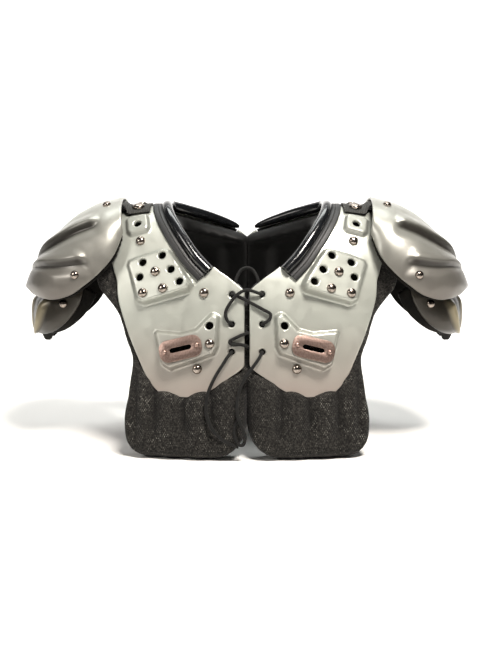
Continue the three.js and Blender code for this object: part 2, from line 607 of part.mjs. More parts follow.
// Sweep of a cross-section along the neck roll's line. The section is in (distance towards the
// neck, height over the arch), and goes round anticlockwise.
function alongRoll(section, overrun) {
  const line = ROLL_LINE.map(({ station, edge }) => archPoint(edge * ARCH_HALF_WIDTH, station));
  const last = line.length - 1;
  const rings = line.map((point, i) => {
    const course = line[Math.min(i + 1, last)].clone().sub(line[Math.max(i - 1, 0)]).normalize();
    const out = archFrame(ROLL_LINE[i].edge * ARCH_HALF_WIDTH, ROLL_LINE[i].station).out;
    const towardsNeck = new THREE.Vector3().crossVectors(out, course).normalize();
    const over = i === 0 ? -overrun : i === last ? overrun : 0;
    const from = point.clone().addScaledVector(course, over);
    return section.map((v) => from.clone().addScaledVector(towardsNeck, v.x).addScaledVector(out, v.y));
  });
  return loft(rings, section);
}

function neckRoll() {
  const foot = WALL + ROLL_GAP;
  const section = [new THREE.Vector2(-FLANGE_WIDTH, foot), new THREE.Vector2(FIT_GAP, foot)];
  for (let degrees = -164; degrees <= 140; degrees += 38) {
    const turn = radians(degrees);
    const across = FIT_GAP + BEAD_RADIUS * (1 + Math.cos(turn));
    section.push(new THREE.Vector2(across, BEAD_LIFT + BEAD_RADIUS * Math.sin(turn)));
  }
  section.push(new THREE.Vector2(-FLANGE_WIDTH, foot + FLANGE_THICKNESS));
  return alongRoll(section, 0);
}

// Room in a plate for the roll's bead.
function rollRoom() {
  const reach = 4 * BEAD_RADIUS;
  const section = [[-ROLL_GAP, -reach], [reach, -reach], [reach, reach], [-ROLL_GAP, reach]];
  return alongRoll(section.map(([across, height]) => new THREE.Vector2(across, height)), FIT_GAP);
}

// Point of a cap: row may lie between two rows, turn is degrees from the ridge, and past is how
// far in millimetres the point lies beyond the row's edge.
function capPoint(rows, row, turn, past) {
  const i = THREE.MathUtils.clamp(Math.floor(row), 0, rows.length - 2);
  const share = row - i;
  const value = (column) => mix(rows[i][column], rows[i + 1][column], share);
  const ridge = new THREE.Vector2(value('ridgeX') * ARCH_HALF_WIDTH, value('ridgeZ') * ARCH_HEIGHT);
  const edge = new THREE.Vector2(value('edgeX') * ARCH_HALF_WIDTH, value('edgeZ') * ARCH_HEIGHT);
  const angle = radians(THREE.MathUtils.clamp(turn, -90, 90));
  const flat = edge.clone().lerp(ridge, Math.cos(angle) ** 0.9);
  if (past > 0) flat.addScaledVector(edge.clone().sub(ridge).normalize(), past);
  return new THREE.Vector3(flat.x, Math.sin(angle) * value('depth') * ARCH_FRONT_DEPTH, flat.y);
}

// Direction in which a cap's wall is measured: square to the course of its ridges, and leaning to
// the front or the back with the turn, so that the wall's two skins never cross at the cap's tip.
function capOut(rows, row, turn) {
  const reach = 0.5;
  const course = capPoint(rows, Math.min(row + reach, rows.length - 1), 0, 0);
  course.sub(capPoint(rows, Math.max(row - reach, 0), 0, 0)).normalize();
  const angle = radians(turn);
  return new THREE.Vector3(-course.z * Math.cos(angle), Math.sin(angle), course.x * Math.cos(angle));
}

function onCap(rows, row, turn, height, past = 0) {
  return capPoint(rows, row, turn, past).addScaledVector(capOut(rows, row, turn), height);
}

// Normal of a cap's skin at a height over its rows.
function capNormal(rows, row, turn, height) {
  const dr = 0.05;
  const dt = 2;
  const alongRows = onCap(rows, row + dr, turn, height).sub(onCap(rows, row - dr, turn, height));
  const alongTurn = onCap(rows, row, turn + dt, height).sub(onCap(rows, row, turn - dt, height));
  return new THREE.Vector3().crossVectors(alongRows, alongTurn).normalize();
}

// Height of the pressed steps of a shoulder cap on a row, for a line of CAP_LINES.
function stepHeight(row, line) {
  const fade = THREE.MathUtils.smoothstep(row, 0.6, 2.6) * (1 - THREE.MathUtils.smoothstep(row, 5, 7.5));
  return (CAP_STEP * fade * (line.level - 1)) / 2;
}

function shoulderCap() {
  const lines = CAP_LINES.map((line) => ({ ...line, side: -1 }));
  lines.unshift(...CAP_LINES.slice(1).reverse().map((line) => ({ ...line, side: 1 })));
  const last = CAP_ROWS.length - 1;
  return shell(CAP_ROWS.length, lines.length, (i, j, face) => {
    const line = lines[j];
    const turn = line.side * mix(line.near, line.far, i / last);
    const height = stepHeight(i, line);
    return onCap(CAP_ROWS, i, turn, face === 0 ? height : height - CAP_WALL);
  });
}

// Foam under a cap, standing out past its edge by margin.
function capPad(rows, columns, firstRow, top, thickness, margin) {
  const last = rows.length - 1;
  return shell(rows.length, columns + 1, (i, j, face) => {
    const side = 1 - (2 * j) / columns;
    const turn = 90 * Math.sign(side) * Math.min(1, (Math.abs(side) * columns) / (columns - 2));
    const past = j === 0 || j === columns ? margin * (1 - i / last / 2) : 0;
    return onCap(rows, Math.max(i, firstRow), turn, top(i) - (face === 0 ? 0 : thickness(i)), past);
  });
}

function shoulderCapPad() {
  const underStrap = CAP_WALL + STRAP_SLACK + STRAP_THICKNESS + FIT_GAP;
  const underSteps = CAP_WALL + CAP_STEP / 2 + PAD_GAP;
  const last = CAP_ROWS.length - 1;
  const top = (row) => (row < last ? -mix(underStrap, underSteps, Math.min(1, row / 2)) : -underStrap);
  const thickness = (row) => mix(CAP_PAD_THIN, CAP_PAD_THICKNESS, Math.min(1, row / 3, (last - row) / 3));
  return capPad(CAP_ROWS, 8, 0.15, top, thickness, CAP_PAD_MARGIN);
}

function armCap() {
  const columns = 8;
  const last = ARM_CAP_ROWS.length - 1;
  return shell(ARM_CAP_ROWS.length, columns + 1, (i, j, face) => {
    const ribbed = j === columns / 2 || Math.abs(j - columns / 2) === 2;
    const rib = ribbed && i > 1 ? ARM_CAP_RIB * Math.min(1, (last - i) / 2) : 0;
    return onCap(ARM_CAP_ROWS, i, 90 * (1 - (2 * j) / columns), face === 0 ? rib : rib - CAP_WALL);
  });
}

function armCapPad() {
  const last = ARM_CAP_ROWS.length - 1;
  const top = () => -CAP_WALL - PAD_GAP;
  const thickness = (row) => ARM_CAP_PAD_THICKNESS * mix(0.4, 1, Math.min(1, (last - row) / 3));
  return capPad(ARM_CAP_ROWS, 6, 0, top, thickness, ARM_CAP_PAD_MARGIN);
}

// Where the strap starts: just outside the neck roll's flange.
const widestRoll = Math.max(...ROLL_LINE.map(({ edge }) => edge)) * ARCH_HALF_WIDTH;
const strapInnerEnd = widestRoll + FLANGE_WIDTH + STRAP_ROLL_GAP;

// Strap over the shoulder: on the plate by the neck, and rising to lie under the shoulder cap.
function shoulderStrap() {
  const toCap = CAP_ROWS[0].ridgeX * ARCH_HALF_WIDTH - strapInnerEnd;
  const columns = 4;
  const onPlate = (x, height) => (y) => onArch(x, stationAt(x, y), WALL + ROLL_GAP + height);
  const underCap = (row) => (y, height) => {
    const i = Math.floor(row);
    const depth = mix(CAP_ROWS[i].depth, CAP_ROWS[i + 1].depth, row - i) * ARCH_FRONT_DEPTH;
    const turn = THREE.MathUtils.radToDeg(Math.asin(y / depth));
    return onCap(CAP_ROWS, row, turn, height - CAP_WALL - STRAP_SLACK - STRAP_THICKNESS);
  };
  const lift = (x, rise) => (y, height) => onPlate(x, rise + height)(y);
  const sections = [
    lift(strapInnerEnd, 0), lift(strapInnerEnd + toCap * 0.43, 0), lift(strapInnerEnd + toCap * 0.62, 0.8),
    underCap(0), underCap(0.5), underCap(1),
  ];
  return shell(columns + 1, sections.length, (i, j, face) => {
    const y = (i / columns - 0.5) * STRAP_WIDTH;
    return sections[j](y, face === 0 ? STRAP_THICKNESS : 0);
  });
}

// Domed rivet head on a surface point.
function rivet(point, normal, radius = RIVET_RADIUS, height = RIVET_HEIGHT) {
  const profile = [[0, 0], [1, 0], [0.8, 0.68], [0, 1]];
  const outline = profile.map(([r, h]) => new THREE.Vector2(r * radius, h * height));
  const geometry = new THREE.LatheGeometry(outline, 7);
  geometry.applyQuaternion(new THREE.Quaternion().setFromUnitVectors(new THREE.Vector3(0, 1, 0), normal));
  const at = point.clone().addScaledVector(normal, FIT_GAP);
  return geometryOf(solidOf(geometry.translate(at.x, at.y, at.z)));
}

function rivetOnPlate({ across, station }) {
  const x = across * ARCH_HALF_WIDTH;
  return rivet(onArch(x, station, WALL), archFrame(x, station).out);
}

function rivetOnCap(rows, row, turn, height) {
  const normal = capNormal(rows, row, turn, height);
  return rivet(onCap(rows, row, turn, height), normal, RIVET_RADIUS * 0.9, RIVET_HEIGHT * 0.8);
}

// Round lace along a route. A lace held in holes bends at the route's own points.
function laceTube(route, held) {
  const curve = new THREE.CatmullRomCurve3(route.map(([x, station, height]) => {
    const point = onArch(Math.abs(x), station, height);
    return point.setX(x < 0 ? -point.x : point.x);
  }));
  if (held) {
    curve.getPointAt = curve.getPoint;
    curve.getTangentAt = curve.getTangent;
  }
  const section = new THREE.Shape();
  for (let k = 0; k < LACE_SIDES; k++) {
    const turn = (2 * Math.PI * k) / LACE_SIDES;
    const [u, v] = [LACE_RADIUS * Math.cos(turn), LACE_RADIUS * Math.sin(turn)];
    if (k === 0) section.moveTo(u, v);
    else section.lineTo(u, v);
  }
  const steps = held ? route.length - 1 : Math.round(curve.getLength() / LACE_STEP);
  return new THREE.ExtrudeGeometry(section, { steps, extrudePath: curve, curveSegments: 1 });
}

const model = new THREE.Group();

function add(name, geometry, material) {
  const mesh = new THREE.Mesh(geometry, material);
  mesh.name = name;
  model.add(mesh);
}

// A piece of the wearer's left arch, and its twin on the right one.
function addPair(name, geometry, material) {
  add(`${name}_left`, geometry, material);
  add(`${name}_right`, mirrored(geometry), material);
}

addPair('body_pad', bodyPad(), meshCloth);
addPair('plate', plate(), silver);
addPair('neck_roll', neckRoll(), vinyl);
addPair('shoulder_strap', shoulderStrap(), webbing);
addPair('shoulder_cap', shoulderCap(), silverCap);
addPair('shoulder_cap_pad', shoulderCapPad(), foam);
addPair('arm_cap', armCap(), silverCap);
addPair('arm_cap_pad', armCapPad(), foam);
addPair('belt_plate_front', beltPlate(false), aluminium);
addPair('belt_plate_back', beltPlate(true), aluminium);

for (const [place, spot] of Object.entries(FRONT_RIVETS)) addPair(`rivet_front_${place}`, rivetOnPlate(spot), steel);
for (const [place, spot] of Object.entries(BACK_RIVETS)) addPair(`rivet_back_${place}`, rivetOnPlate(spot), steel);
[FIXING_BOSS, BELT_BOSS].forEach((boss, k) => {
  const frame = bossFrame(boss, false);
  boss.rivets.forEach(([p, q], i) => {
    addPair(`rivet_${['boss', 'belt'][k]}_${i + 1}`, rivet(frame.top(p, q), frame.normal), steel);
  });
});
['front', 'back'].forEach((place, i) => {
  const x = strapInnerEnd + STRAP_RIVET_INSET;
  const height = WALL + ROLL_GAP + STRAP_THICKNESS + FIT_GAP / 2;
  const station = STRAP_RIVET_STATIONS[i];
  addPair(`rivet_strap_${place}`, rivet(onArch(x, station, height), archFrame(x, station).out), steel);
});
addPair('rivet_cap_top', rivetOnCap(CAP_ROWS, 0.72, -25, -1), steel);
for (const [place, side] of [['front', -1], ['back', 1]]) {
  addPair(`rivet_cap_${place}`, rivetOnCap(CAP_ROWS, 3.15, side * 79, -CAP_STEP / 2), steel);
  addPair(`rivet_arm_cap_${place}`, rivetOnCap(ARM_CAP_ROWS, 1.45, side * 74, 0), steel);
}

add('lace_front', laceTube(FRONT_LACE_ROUTE, true), cord);
add('lace_tail_left', laceTube(LACE_TAIL_LEFT_ROUTE, false), cord);
add('lace_tail_right', laceTube(LACE_TAIL_RIGHT_ROUTE, false), cord);
add('lace_back', laceTube(BACK_LACE_ROUTE, true), cord);

// The origin is at the middle of the box of everything but the lace, on the floor.
const rigid = model.children.filter((mesh) => !mesh.name.startsWith('lace'));
const box = rigid.reduce((all, mesh) => all.expandByObject(mesh), new THREE.Box3());
model.position.set(0, -(box.min.y + box.max.y) / 2, -box.min.z);

export default model;
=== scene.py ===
# Looks of a youth football shoulder pad: silver plates laced over charcoal air-mesh padding, with
# grey shoulder caps on black foam. Forms are worked out in millimetres on the arch that the pad
# follows, and placed in the frame in metres. +X is the wearer's left, +Y the back and +Z up.
import math

import bpy
from mathutils import Matrix, Vector


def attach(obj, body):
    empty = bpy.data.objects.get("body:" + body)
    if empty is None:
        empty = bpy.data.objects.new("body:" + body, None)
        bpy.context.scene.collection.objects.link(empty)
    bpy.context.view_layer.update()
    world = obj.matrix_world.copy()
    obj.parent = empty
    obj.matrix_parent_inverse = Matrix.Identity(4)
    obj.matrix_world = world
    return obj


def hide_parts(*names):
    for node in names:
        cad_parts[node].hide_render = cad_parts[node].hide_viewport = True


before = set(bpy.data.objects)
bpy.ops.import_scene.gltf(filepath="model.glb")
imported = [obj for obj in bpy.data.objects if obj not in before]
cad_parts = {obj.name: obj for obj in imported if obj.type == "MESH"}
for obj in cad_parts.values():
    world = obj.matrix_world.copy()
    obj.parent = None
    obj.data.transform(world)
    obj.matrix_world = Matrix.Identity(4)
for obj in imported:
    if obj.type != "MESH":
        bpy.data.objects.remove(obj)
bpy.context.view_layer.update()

MM = 0.001

# Camera, as the photograph was taken: pitch, distance and lens, looking at the middle of the pad
CAMERA_PITCH = 9
CAMERA_DISTANCE = 1.05
CAMERA_AIM = (0, 0.002, 0.104)
CAMERA_LENS = 59.1
CAMERA_SENSOR = 36

# Arch that every piece follows. A station is an angle along it in degrees: 0 at the front hem, 90
# on top of the shoulder, 180 at the back hem.
ARCH_HALF_WIDTH = 150
ARCH_HEIGHT = 220
ARCH_FRONT_DEPTH = 92
ARCH_BACK_DEPTH = 88
ARCH_ROUNDNESS = 2.3
ARCH_MIDDLE_Y = 1.998
ARCH_LENGTH = 2.4 * ARCH_HEIGHT
CHEST_HALF_WIDTH = 200
SHOULDER_DROP = 14
SHOULDER_LEVEL_HALF_WIDTH = 85

# Walls and clearances
WALL = 3
FIT_GAP = 0.4
PAD_GAP = 1.3
PAD_THICKNESS = 15
PAD_EDGE = 6
RIM_RADIUS = 1.1
RIM_STEPS = (0, 0.15, 0.5, 1.1)
RIM_LINES = len(RIM_STEPS) - 1
CAP_WALL = 2.5
CAP_LEAST_REACH = 12
# Reach that lays out a cap's painted shade across it
PAINTED_SHADE_REACH = 60
CAP_ARCHING = 0.9
CAP_STEP = 5.5
CAP_PAD_THICKNESS = 5
CAP_PAD_THIN = 2.6
CAP_PAD_MARGIN = 3.2
CAP_PAD_COVERED = 0.86
ARM_CAP_PAD_THICKNESS = 9
ARM_CAP_PAD_MARGIN = 12
ARM_CAP_RIB = 4
ARM_CAP_RIB_TURNS = (0, 45)
ARM_CAP_PAD_DROP = 7
DROP_START = 0.85

# Neck roll, strap and hardware
BEAD_RADIUS = 5
BEAD_LIFT = 4.2
BEAD_TAPER = 12
FLANGE_WIDTH = 8
FLANGE_THICKNESS = 1.6
ROLL_GAP = 1.2
STRAP_WIDTH = 46
STRAP_THICKNESS = 2
STRAP_ROLL_GAP = 1.4
STRAP_SLACK = 2
STRAP_RUN = ((0, 0.8), (14, 0.8), (19, 1.6))
STITCH_PITCH = 3.3
STITCH_LENGTH = 2.4
THREAD_RADIUS = 0.32
BELT_PLATE_LENGTH = 39
BELT_PLATE_WIDTH = 20
BELT_PLATE_THICKNESS = 1.6
BELT_PLATE_CORNER = 8
BELT_SLOT_LENGTH = 20
BELT_SLOT_WIDTH = 4.4
BELT_PLATE_TURN = -14
BELT_RIVET_SPREAD = 15
BELT_RIVET_RADIUS = 2.2
RIVET_RADIUS = 4.4
RIVET_HEIGHT = 3.5
RIVET_SUNK = 0.7
STRAP_RIVET_SHARE = 1.35
SEAT_REACH = 20
BOSS_HOLE_RADIUS = 3.6
BOSS_EDGE = 3.8
BOSS_INSET = 3
BOSS_LEAST_RISE = 0.4
BOSS_FIELD = 45
# Share of painted shade on a boss's flat top
BOSS_TOP_SHADE = 0.35
LACE_RADIUS = 1.5
LACE_HOLE_RADIUS = 2.7
LACE_HOLE_X = 13.5
CHAMFER = 0.9
CUTTER_DEPTH = 12
CUTTER_REACH = 8

# Painted shade in pressed lines, between ribs and round bosses, as a colour
PAINTED_SHADE = "#211d19"

# Meshes: lines across and along each piece, and the grain of the padding and the foam
PLATE_COLUMNS = 84
PLATE_ROWS = 330
CAP_COLUMNS = 96
CAP_LINES = 190
FOAM_COLUMNS = 60
FOAM_LINES = 84
FOAM_GRAIN = 1.5
PAD_COLUMNS = 64
PAD_ROWS = 250
PAD_GRAIN = 3
STRAP_STEPS = 8
STRAP_LINES = 36

# Outline of a plate: station, inner edge and outer edge, as shares of ARCH_HALF_WIDTH
PLATE_OUTLINE = (
    (12.0, 0.31, 0.45), (13.2, 0.24, 0.53), (16.2, 0.12, 0.597), (20, 0.015, 0.64), (29, 0.015, 0.722),
    (39.5, 0.015, 0.78), (43.5, 0.085, 0.785), (47.8, 0.185, 0.805), (56, 0.305, 0.84), (64, 0.376, 0.88),
    (72, 0.42, 0.905), (80, 0.437, 0.91), (88, 0.441, 0.905), (95, 0.434, 0.905), (101, 0.399, 0.91),
    (106, 0.34, 0.905), (112.5, 0.18, 0.885), (118, 0.08, 0.86), (121.5, 0.015, 0.845),
    (131, 0.015, 0.81), (141, 0.015, 0.775), (151, 0.015, 0.72), (160, 0.015, 0.64),
    (163.8, 0.12, 0.597), (166.8, 0.24, 0.53), (168, 0.31, 0.45),
)
NECK_STATIONS = (39.5, 121.5)

# Stations of the plate's lines, closer together at its feet and over its bosses: share and station
PLATE_LINES = (
    (0, 12), (0.025, 13.2), (0.08, 18), (0.54, 74), (0.7, 141), (0.93, 163.5), (0.975, 166.8), (1, 168),
)

# Where the neck roll's flange ends and its bead starts: station and share across
ROLL_LINE = (
    (45.2, 0.255), (50, 0.331), (56, 0.395), (64, 0.462), (72, 0.507), (80, 0.53), (88, 0.538),
    (95, 0.53), (101, 0.487), (106, 0.412), (112.5, 0.27), (120, 0.07),
)

# Outline of a body pad, as for the plate
PAD_OUTLINE = (
    (0, 0.18, 0.63), (0.6, 0.12, 0.672), (1.5, 0.07, 0.705), (2.8, 0.033, 0.73), (4.4, 0.009, 0.742),
    (6.6, -0.003, 0.745), (12, -0.012, 0.715), (20, -0.012, 0.7), (26, -0.012, 0.745), (33, -0.012, 0.79),
    (39.5, 0.006, 0.875), (43.5, 0.03, 0.925), (47.8, 0.13, 0.94), (55, 0.25, 0.955), (64, 0.33, 0.97),
    (76, 0.39, 0.98), (90, 0.41, 0.985), (99, 0.39, 0.98), (106, 0.3, 0.97), (112, 0.15, 0.957),
    (116, 0.02, 0.95), (118.5, -0.012, 0.94), (138, -0.012, 0.88), (148, -0.012, 0.775), (160, -0.012, 0.7),
    (168, -0.012, 0.715), (173.4, -0.003, 0.745), (175.6, 0.009, 0.742), (177.2, 0.033, 0.73),
    (178.5, 0.07, 0.705), (179.4, 0.12, 0.672), (180, 0.18, 0.63),
)

# Quilting of the hem: seams between its lobes, as shares across
HEM_SEAMS = (0.003, 0.21, 0.372, 0.55, 0.665, 0.745)
HEM_SEAM_DEPTH = 11
HEM_PUFF = 11
HEM_LAP = 4
HEM_RATE = 3.9
SIDE_PUFF = 1.5
PUFF_PRESSURE = 3
PUFF_LIMIT = 3
PUFF_FRAMES = 20

# Neck of the padding: its room for the bead, its lip's curl in front and behind, and how far each
# reaches, and its room for the lace. Up to MEETING the two halves meet, in front and behind.
NECK_REACH = 22
BEAD_ROOM = 1.4
FRONT_CURL = 14
BACK_CURL = 4
LACE_ROOM = 5.4
MEETING = (37, 61)

# Rows of a shoulder cap from the neck to the arm: ridge and edge across and up, and depth, as
# shares of ARCH_HALF_WIDTH, ARCH_HEIGHT and ARCH_FRONT_DEPTH
CAP_ROWS = (
    (0.78, 1.055, 0.75, 0.915, 0.57), (0.913, 1.034, 0.802, 0.825, 0.7),
    (1.05, 0.99, 0.877, 0.762, 0.765), (1.175, 0.922, 0.965, 0.71, 0.798),
    (1.285, 0.845, 1.078, 0.66, 0.77), (1.355, 0.765, 1.2, 0.64, 0.65),
    (1.392, 0.712, 1.315, 0.648, 0.43), (1.408, 0.682, 1.39, 0.67, 0.22),
)
# Pressed steps of a shoulder cap: the course of each, as rows and degrees from the ridge
CAP_CREASES = (
    ((1.3, 47), (2.2, 40), (3.2, 30), (4.3, 13), (4.9, 0)),
    ((2.4, 74), (3.2, 64), (3.9, 51), (4.8, 26), (5.4, 4)),
)
CREASE_WIDTH = 7
CREASE_REACH = 15
ARM_CAP_ROWS = (
    (1.192, 0.755, 1.0, 0.685, 0.553), (1.307, 0.648, 1.015, 0.637, 0.573),
    (1.352, 0.603, 1.055, 0.585, 0.57), (1.362, 0.55, 1.11, 0.54, 0.55),
    (1.36, 0.505, 1.185, 0.5, 0.47), (1.352, 0.48, 1.255, 0.477, 0.34),
    (1.345, 0.468, 1.31, 0.466, 0.18),
)

# Holes of the lace, as stations
LACE_HOLE_STATIONS = (39, 30.3, 23)
BACK_LACE_HOLE_STATIONS = (130, 146)

# Pressed bosses of a plate: places (p, q) in millimetres from the boss's centre, p along +X and q
# up along the arch. slope_p and slope_q tilt the flat top.
FIXING_BOSS = {
    "across": 0.54, "station": 45.5, "rise": 5.2, "slope_p": -0.13, "slope_q": 0.07,
    "outline": (
        (27, 10), (26, 13), (-6, 24.5), (-11, 24), (-32.5, -11), (-31, -14.5), (12, -26.5), (17, -24),
    ),
    "holes": ((12.8, 10.5), (-5.2, 17), (15, -3.6), (-13.7, 2.9), (-22, -8.3)),
}
SHOULDER_BOSS = {
    "across": 0.657, "station": 68.4, "rise": 3.4, "slope_p": -0.1, "slope_q": 0.0,
    "outline": ((13, 7), (11, 9), (-5, 10.5), (-7, 9.5), (-9.5, -7), (-8.5, -9), (8, -12), (10.5, -10)),
    "holes": ((1.5, -1.5),),
}
BELT_BOSS = {
    "across": 0.375, "station": 24.8, "rise": 6.2, "slope_p": -0.05, "slope_q": 0.16,
    "outline": (
        (26, 9.5), (5, 8.5), (-14, 14), (-28, 29), (-31, 27), (-31, -2), (-28, -8), (13, -21.5), (19, -18),
    ),
    "holes": ((-23.5, 17.5),),
}
BELT_PLATE_CENTRE = (1.5, -4)

# Lace routes: x in millimetres, station, and height over the arch in millimetres
LACE_TAIL_RIGHT_ROUTE = (
    (-13.5, 23, 2.1), (-13.7, 22.9, 4.6), (-17, 21.8, 8.2), (-21, 20, 9.2), (-26.5, 17.6, 9.6),
    (-31.5, 15, 9.8), (-35, 12.2, 10.4), (-35.4, 9.2, 10.8), (-33, 7, 11), (-28, 5.2, 11.1),
    (-21.5, 3.8, 10.8), (-14, 2.9, 10.6), (-7.5, 2.4, 10.2),
)
LACE_TAIL_LEFT_ROUTE = (
    (13.5, 23, 2.1), (13.3, 22.9, 4.6), (9.8, 21.2, 8.4), (4, 19, 9.4), (-1.6, 16.8, 9.8),
    (-6, 14.4, 10.2), (-8.4, 12, 10.8), (-8.6, 9.6, 12.8), (-6.6, 7.6, 14.4), (-3.4, 6, 13.8),
    (-1.8, 4.2, 12), (-3.6, 2.8, 10.9), (-7.6, 2.9, 10.8), (-10.4, 4.2, 10.8), (-11, 5.8, 10.9),
    (-9, 7.3, 11), (-5.8, 8.2, 10.9),
)
FRONT_LACE_ROUTE = (
    (-13.5, 23, 1.2), (-13.4, 23, -1), (-11, 23.6, -2.7), (-4.5, 25.4, -2.9), (3, 27.5, -2.9),
    (10.5, 29.6, -2.8), (13.3, 30.3, -0.8), (13.6, 30.3, 2.6), (15.4, 30.6, 5.2), (20, 31.6, 6),
    (20.6, 33, 6.2), (14, 34.3, 6.2), (6.5, 35.7, 5.9), (-1.5, 37.1, 5.6), (-9, 38.4, 5.3),
    (-12.9, 39.1, 4.4), (-13.6, 39.2, 1.8), (-13.2, 39.5, -1.2), (-11.4, 42, -3), (-8.8, 45.6, -3.8),
    (-4.6, 48.2, -4), (0, 48.9, -4), (4.6, 48.2, -4), (8.8, 45.6, -3.8), (11.4, 42, -3),
    (13.2, 39.5, -1.2), (13.6, 39.1, 2.4), (12.2, 38.9, 5.4), (6.8, 39.4, 8.2), (-0.5, 39.9, 9.5),
    (-8, 38.6, 9.6), (-14.8, 36, 8.6), (-18.8, 33.4, 7.2), (-17.4, 31.3, 5.8), (-13.9, 30.4, 3),
    (-13.2, 30.2, -1), (-10.5, 29.8, -2.8), (-2.8, 28.6, -3.4), (0, 28.2, -1.2), (0, 27.9, 3.4),
    (-3.4, 27.5, 5.5), (-10, 26.6, 5.7), (-15.2, 25.7, 5.4), (-13.6, 24.9, 5.3), (-6.5, 24.9, 5.6),
    (-0.8, 24.6, 4.8), (0, 24.4, 0.4), (2.4, 24.1, -3.2), (9.5, 23.3, -3.1), (13.2, 23, -1.2),
    (13.5, 23, 1.2),
)
BACK_LACE_ROUTE = (
    (-5, 146, -3.7), (-10.6, 146, -3.6), (-13.1, 146, -1.6), (-13.3, 146, 2.6), (-10.2, 146, 5),
    (0, 146, 5.4), (10.2, 146, 5), (13.3, 146, 2.6), (13.4, 145.9, -1.2), (13.3, 143.8, -3.4),
    (13.3, 138, -3.5), (13.3, 132.2, -3.4), (13.4, 130.1, -1.2), (13.3, 130, 2.6), (10.2, 130, 5),
    (0, 130, 5.4), (-10.2, 130, 5), (-13.3, 130, 2.6), (-13.1, 130, -1.6), (-10.6, 130, -3.6),
    (-5, 130, -3.7),
)


# Numbers and curves
def mix(a, b, share):
    return a + (b - a) * share


def smoothstep(value, low, high):
    share = min(1, max(0, (value - low) / (high - low)))
    return share * share * (3 - 2 * share)


def table_value(table, at, column):
    """Value of a table's column on a smooth curve through its rows that never overshoots them."""
    if at <= table[0][0]:
        return table[0][column]
    if at >= table[-1][0]:
        return table[-1][column]
    i = next(k for k, row in enumerate(table) if row[0] > at)

    def secant(k):
        return (table[k + 1][column] - table[k][column]) / (table[k + 1][0] - table[k][0])

    def slope(k):
        if k == 0:
            return secant(0)
        if k == len(table) - 1:
            return secant(k - 1)
        before = secant(k - 1)
        after = secant(k)
        return 0 if before * after <= 0 else 2 * before * after / (before + after)

    span = table[i][0] - table[i - 1][0]
    t = (at - table[i - 1][0]) / span
    return (
        table[i - 1][column] * (1 + 2 * t) * (1 - t) ** 2
        + slope(i - 1) * span * t * (1 - t) ** 2
        + table[i][column] * t * t * (3 - 2 * t)
        + slope(i) * span * t * t * (t - 1)
    )


def smooth_path(points, per_span):
    """Points on a smooth curve through points, with no loops where they lie close together."""
    ends = [points[0] * 2 - points[1], *points, points[-1] * 2 - points[-2]]
    path = []
    for a, b, c, d in zip(ends, ends[1:], ends[2:], ends[3:]):
        t1 = (b - a).length ** 0.5
        t2 = t1 + (c - b).length ** 0.5
        t3 = t2 + (d - c).length ** 0.5
        for k in range(per_span):
            t = mix(t1, t2, k / per_span)
            ab = a * ((t1 - t) / t1) + b * (t / t1)
            bc = b * ((t2 - t) / (t2 - t1)) + c * ((t - t1) / (t2 - t1))
            cd = c * ((t3 - t) / (t3 - t2)) + d * ((t - t2) / (t3 - t2))
            abc = ab * ((t2 - t) / t2) + bc * (t / t2)
            bcd = bc * ((t3 - t) / (t3 - t1)) + cd * ((t - t1) / (t3 - t1))
            path.append(abc * ((t2 - t) / (t2 - t1)) + bcd * ((t - t1) / (t2 - t1)))
    return [*path, points[-1].copy()]


def outline_distance(outline, x, y):
    """Distance of a place from an outline, negative inside it."""
    nearest = math.inf
    inside = False
    for (ax, ay), (bx, by) in zip(outline, outline[1:] + outline[:1]):
        dx, dy = bx - ax, by - ay
        share = min(1, max(0, ((x - ax) * dx + (y - ay) * dy) / (dx * dx + dy * dy)))
        nearest = min(nearest, math.hypot(x - ax - share * dx, y - ay - share * dy))
        if (ay > y) != (by > y) and x < ax + (y - ay) / (by - ay) * dx:
            inside = not inside
    return -nearest if inside else nearest


# Arch
def arch_height(x):
    past = max(0, abs(x) - SHOULDER_LEVEL_HALF_WIDTH)
    return ARCH_HEIGHT - SHOULDER_DROP * (past / (ARCH_HALF_WIDTH - SHOULDER_LEVEL_HALF_WIDTH)) ** 2


def arch_depth(x, station):
    depth = ARCH_FRONT_DEPTH if station < 90 else ARCH_BACK_DEPTH
    return depth * math.sqrt(1 - (x / CHEST_HALF_WIDTH) ** 2)


def arch_point(x, station):
    turn = math.radians(station)
    out = abs(math.cos(turn)) ** (2 / ARCH_ROUNDNESS)
    up = abs(math.sin(turn)) ** (2 / ARCH_ROUNDNESS)
    return Vector((x, -math.copysign(arch_depth(x, station) * out, math.cos(turn)), arch_height(x) * up))


def arch_frame(x, station):
    """Directions across, along and out of the arch at a point, and millimetres to a degree."""
    step = 0.5
    s = min(180 - step, max(step, station))
    across = (arch_point(x + step, s) - arch_point(x - step, s)).normalized()
    along = arch_point(x, s + step) - arch_point(x, s - step)
    rate = along.length / (2 * step)
    along.normalize()
    out = across.cross(along).normalized()
    if station < step or station > 180 - step:
        out.z = 0
        out.normalize()
    return across, along, out, rate


def on_arch(x, station, height):
    """A point over the arch, on either side of the middle."""
    point = arch_point(abs(x), station) + arch_frame(abs(x), station)[2] * height
    point.x = math.copysign(point.x, x)
    return point


def station_at(x, y):
    """Station of the arch at a depth y on the cross-section at x."""
    share = abs(y) / arch_depth(x, 0 if y < 0 else 180)
    station = math.degrees(math.acos(share ** (ARCH_ROUNDNESS / 2)))
    return station if y < 0 else 180 - station


def station_of(point):
    """Station of a point near the arch."""
    up = (max(point.z, 0) / arch_height(point.x)) ** (ARCH_ROUNDNESS / 2)
    depth = arch_depth(point.x, 0 if point.y < 0 else 180)
    out = (abs(point.y) / depth) ** (ARCH_ROUNDNESS / 2)
    return math.degrees(math.atan2(up, -math.copysign(out, point.y)))


def placed(point):
    """A point of the arch's millimetres in the frame's metres."""
    return Vector((point.x, point.y + ARCH_MIDDLE_Y, point.z)) * MM


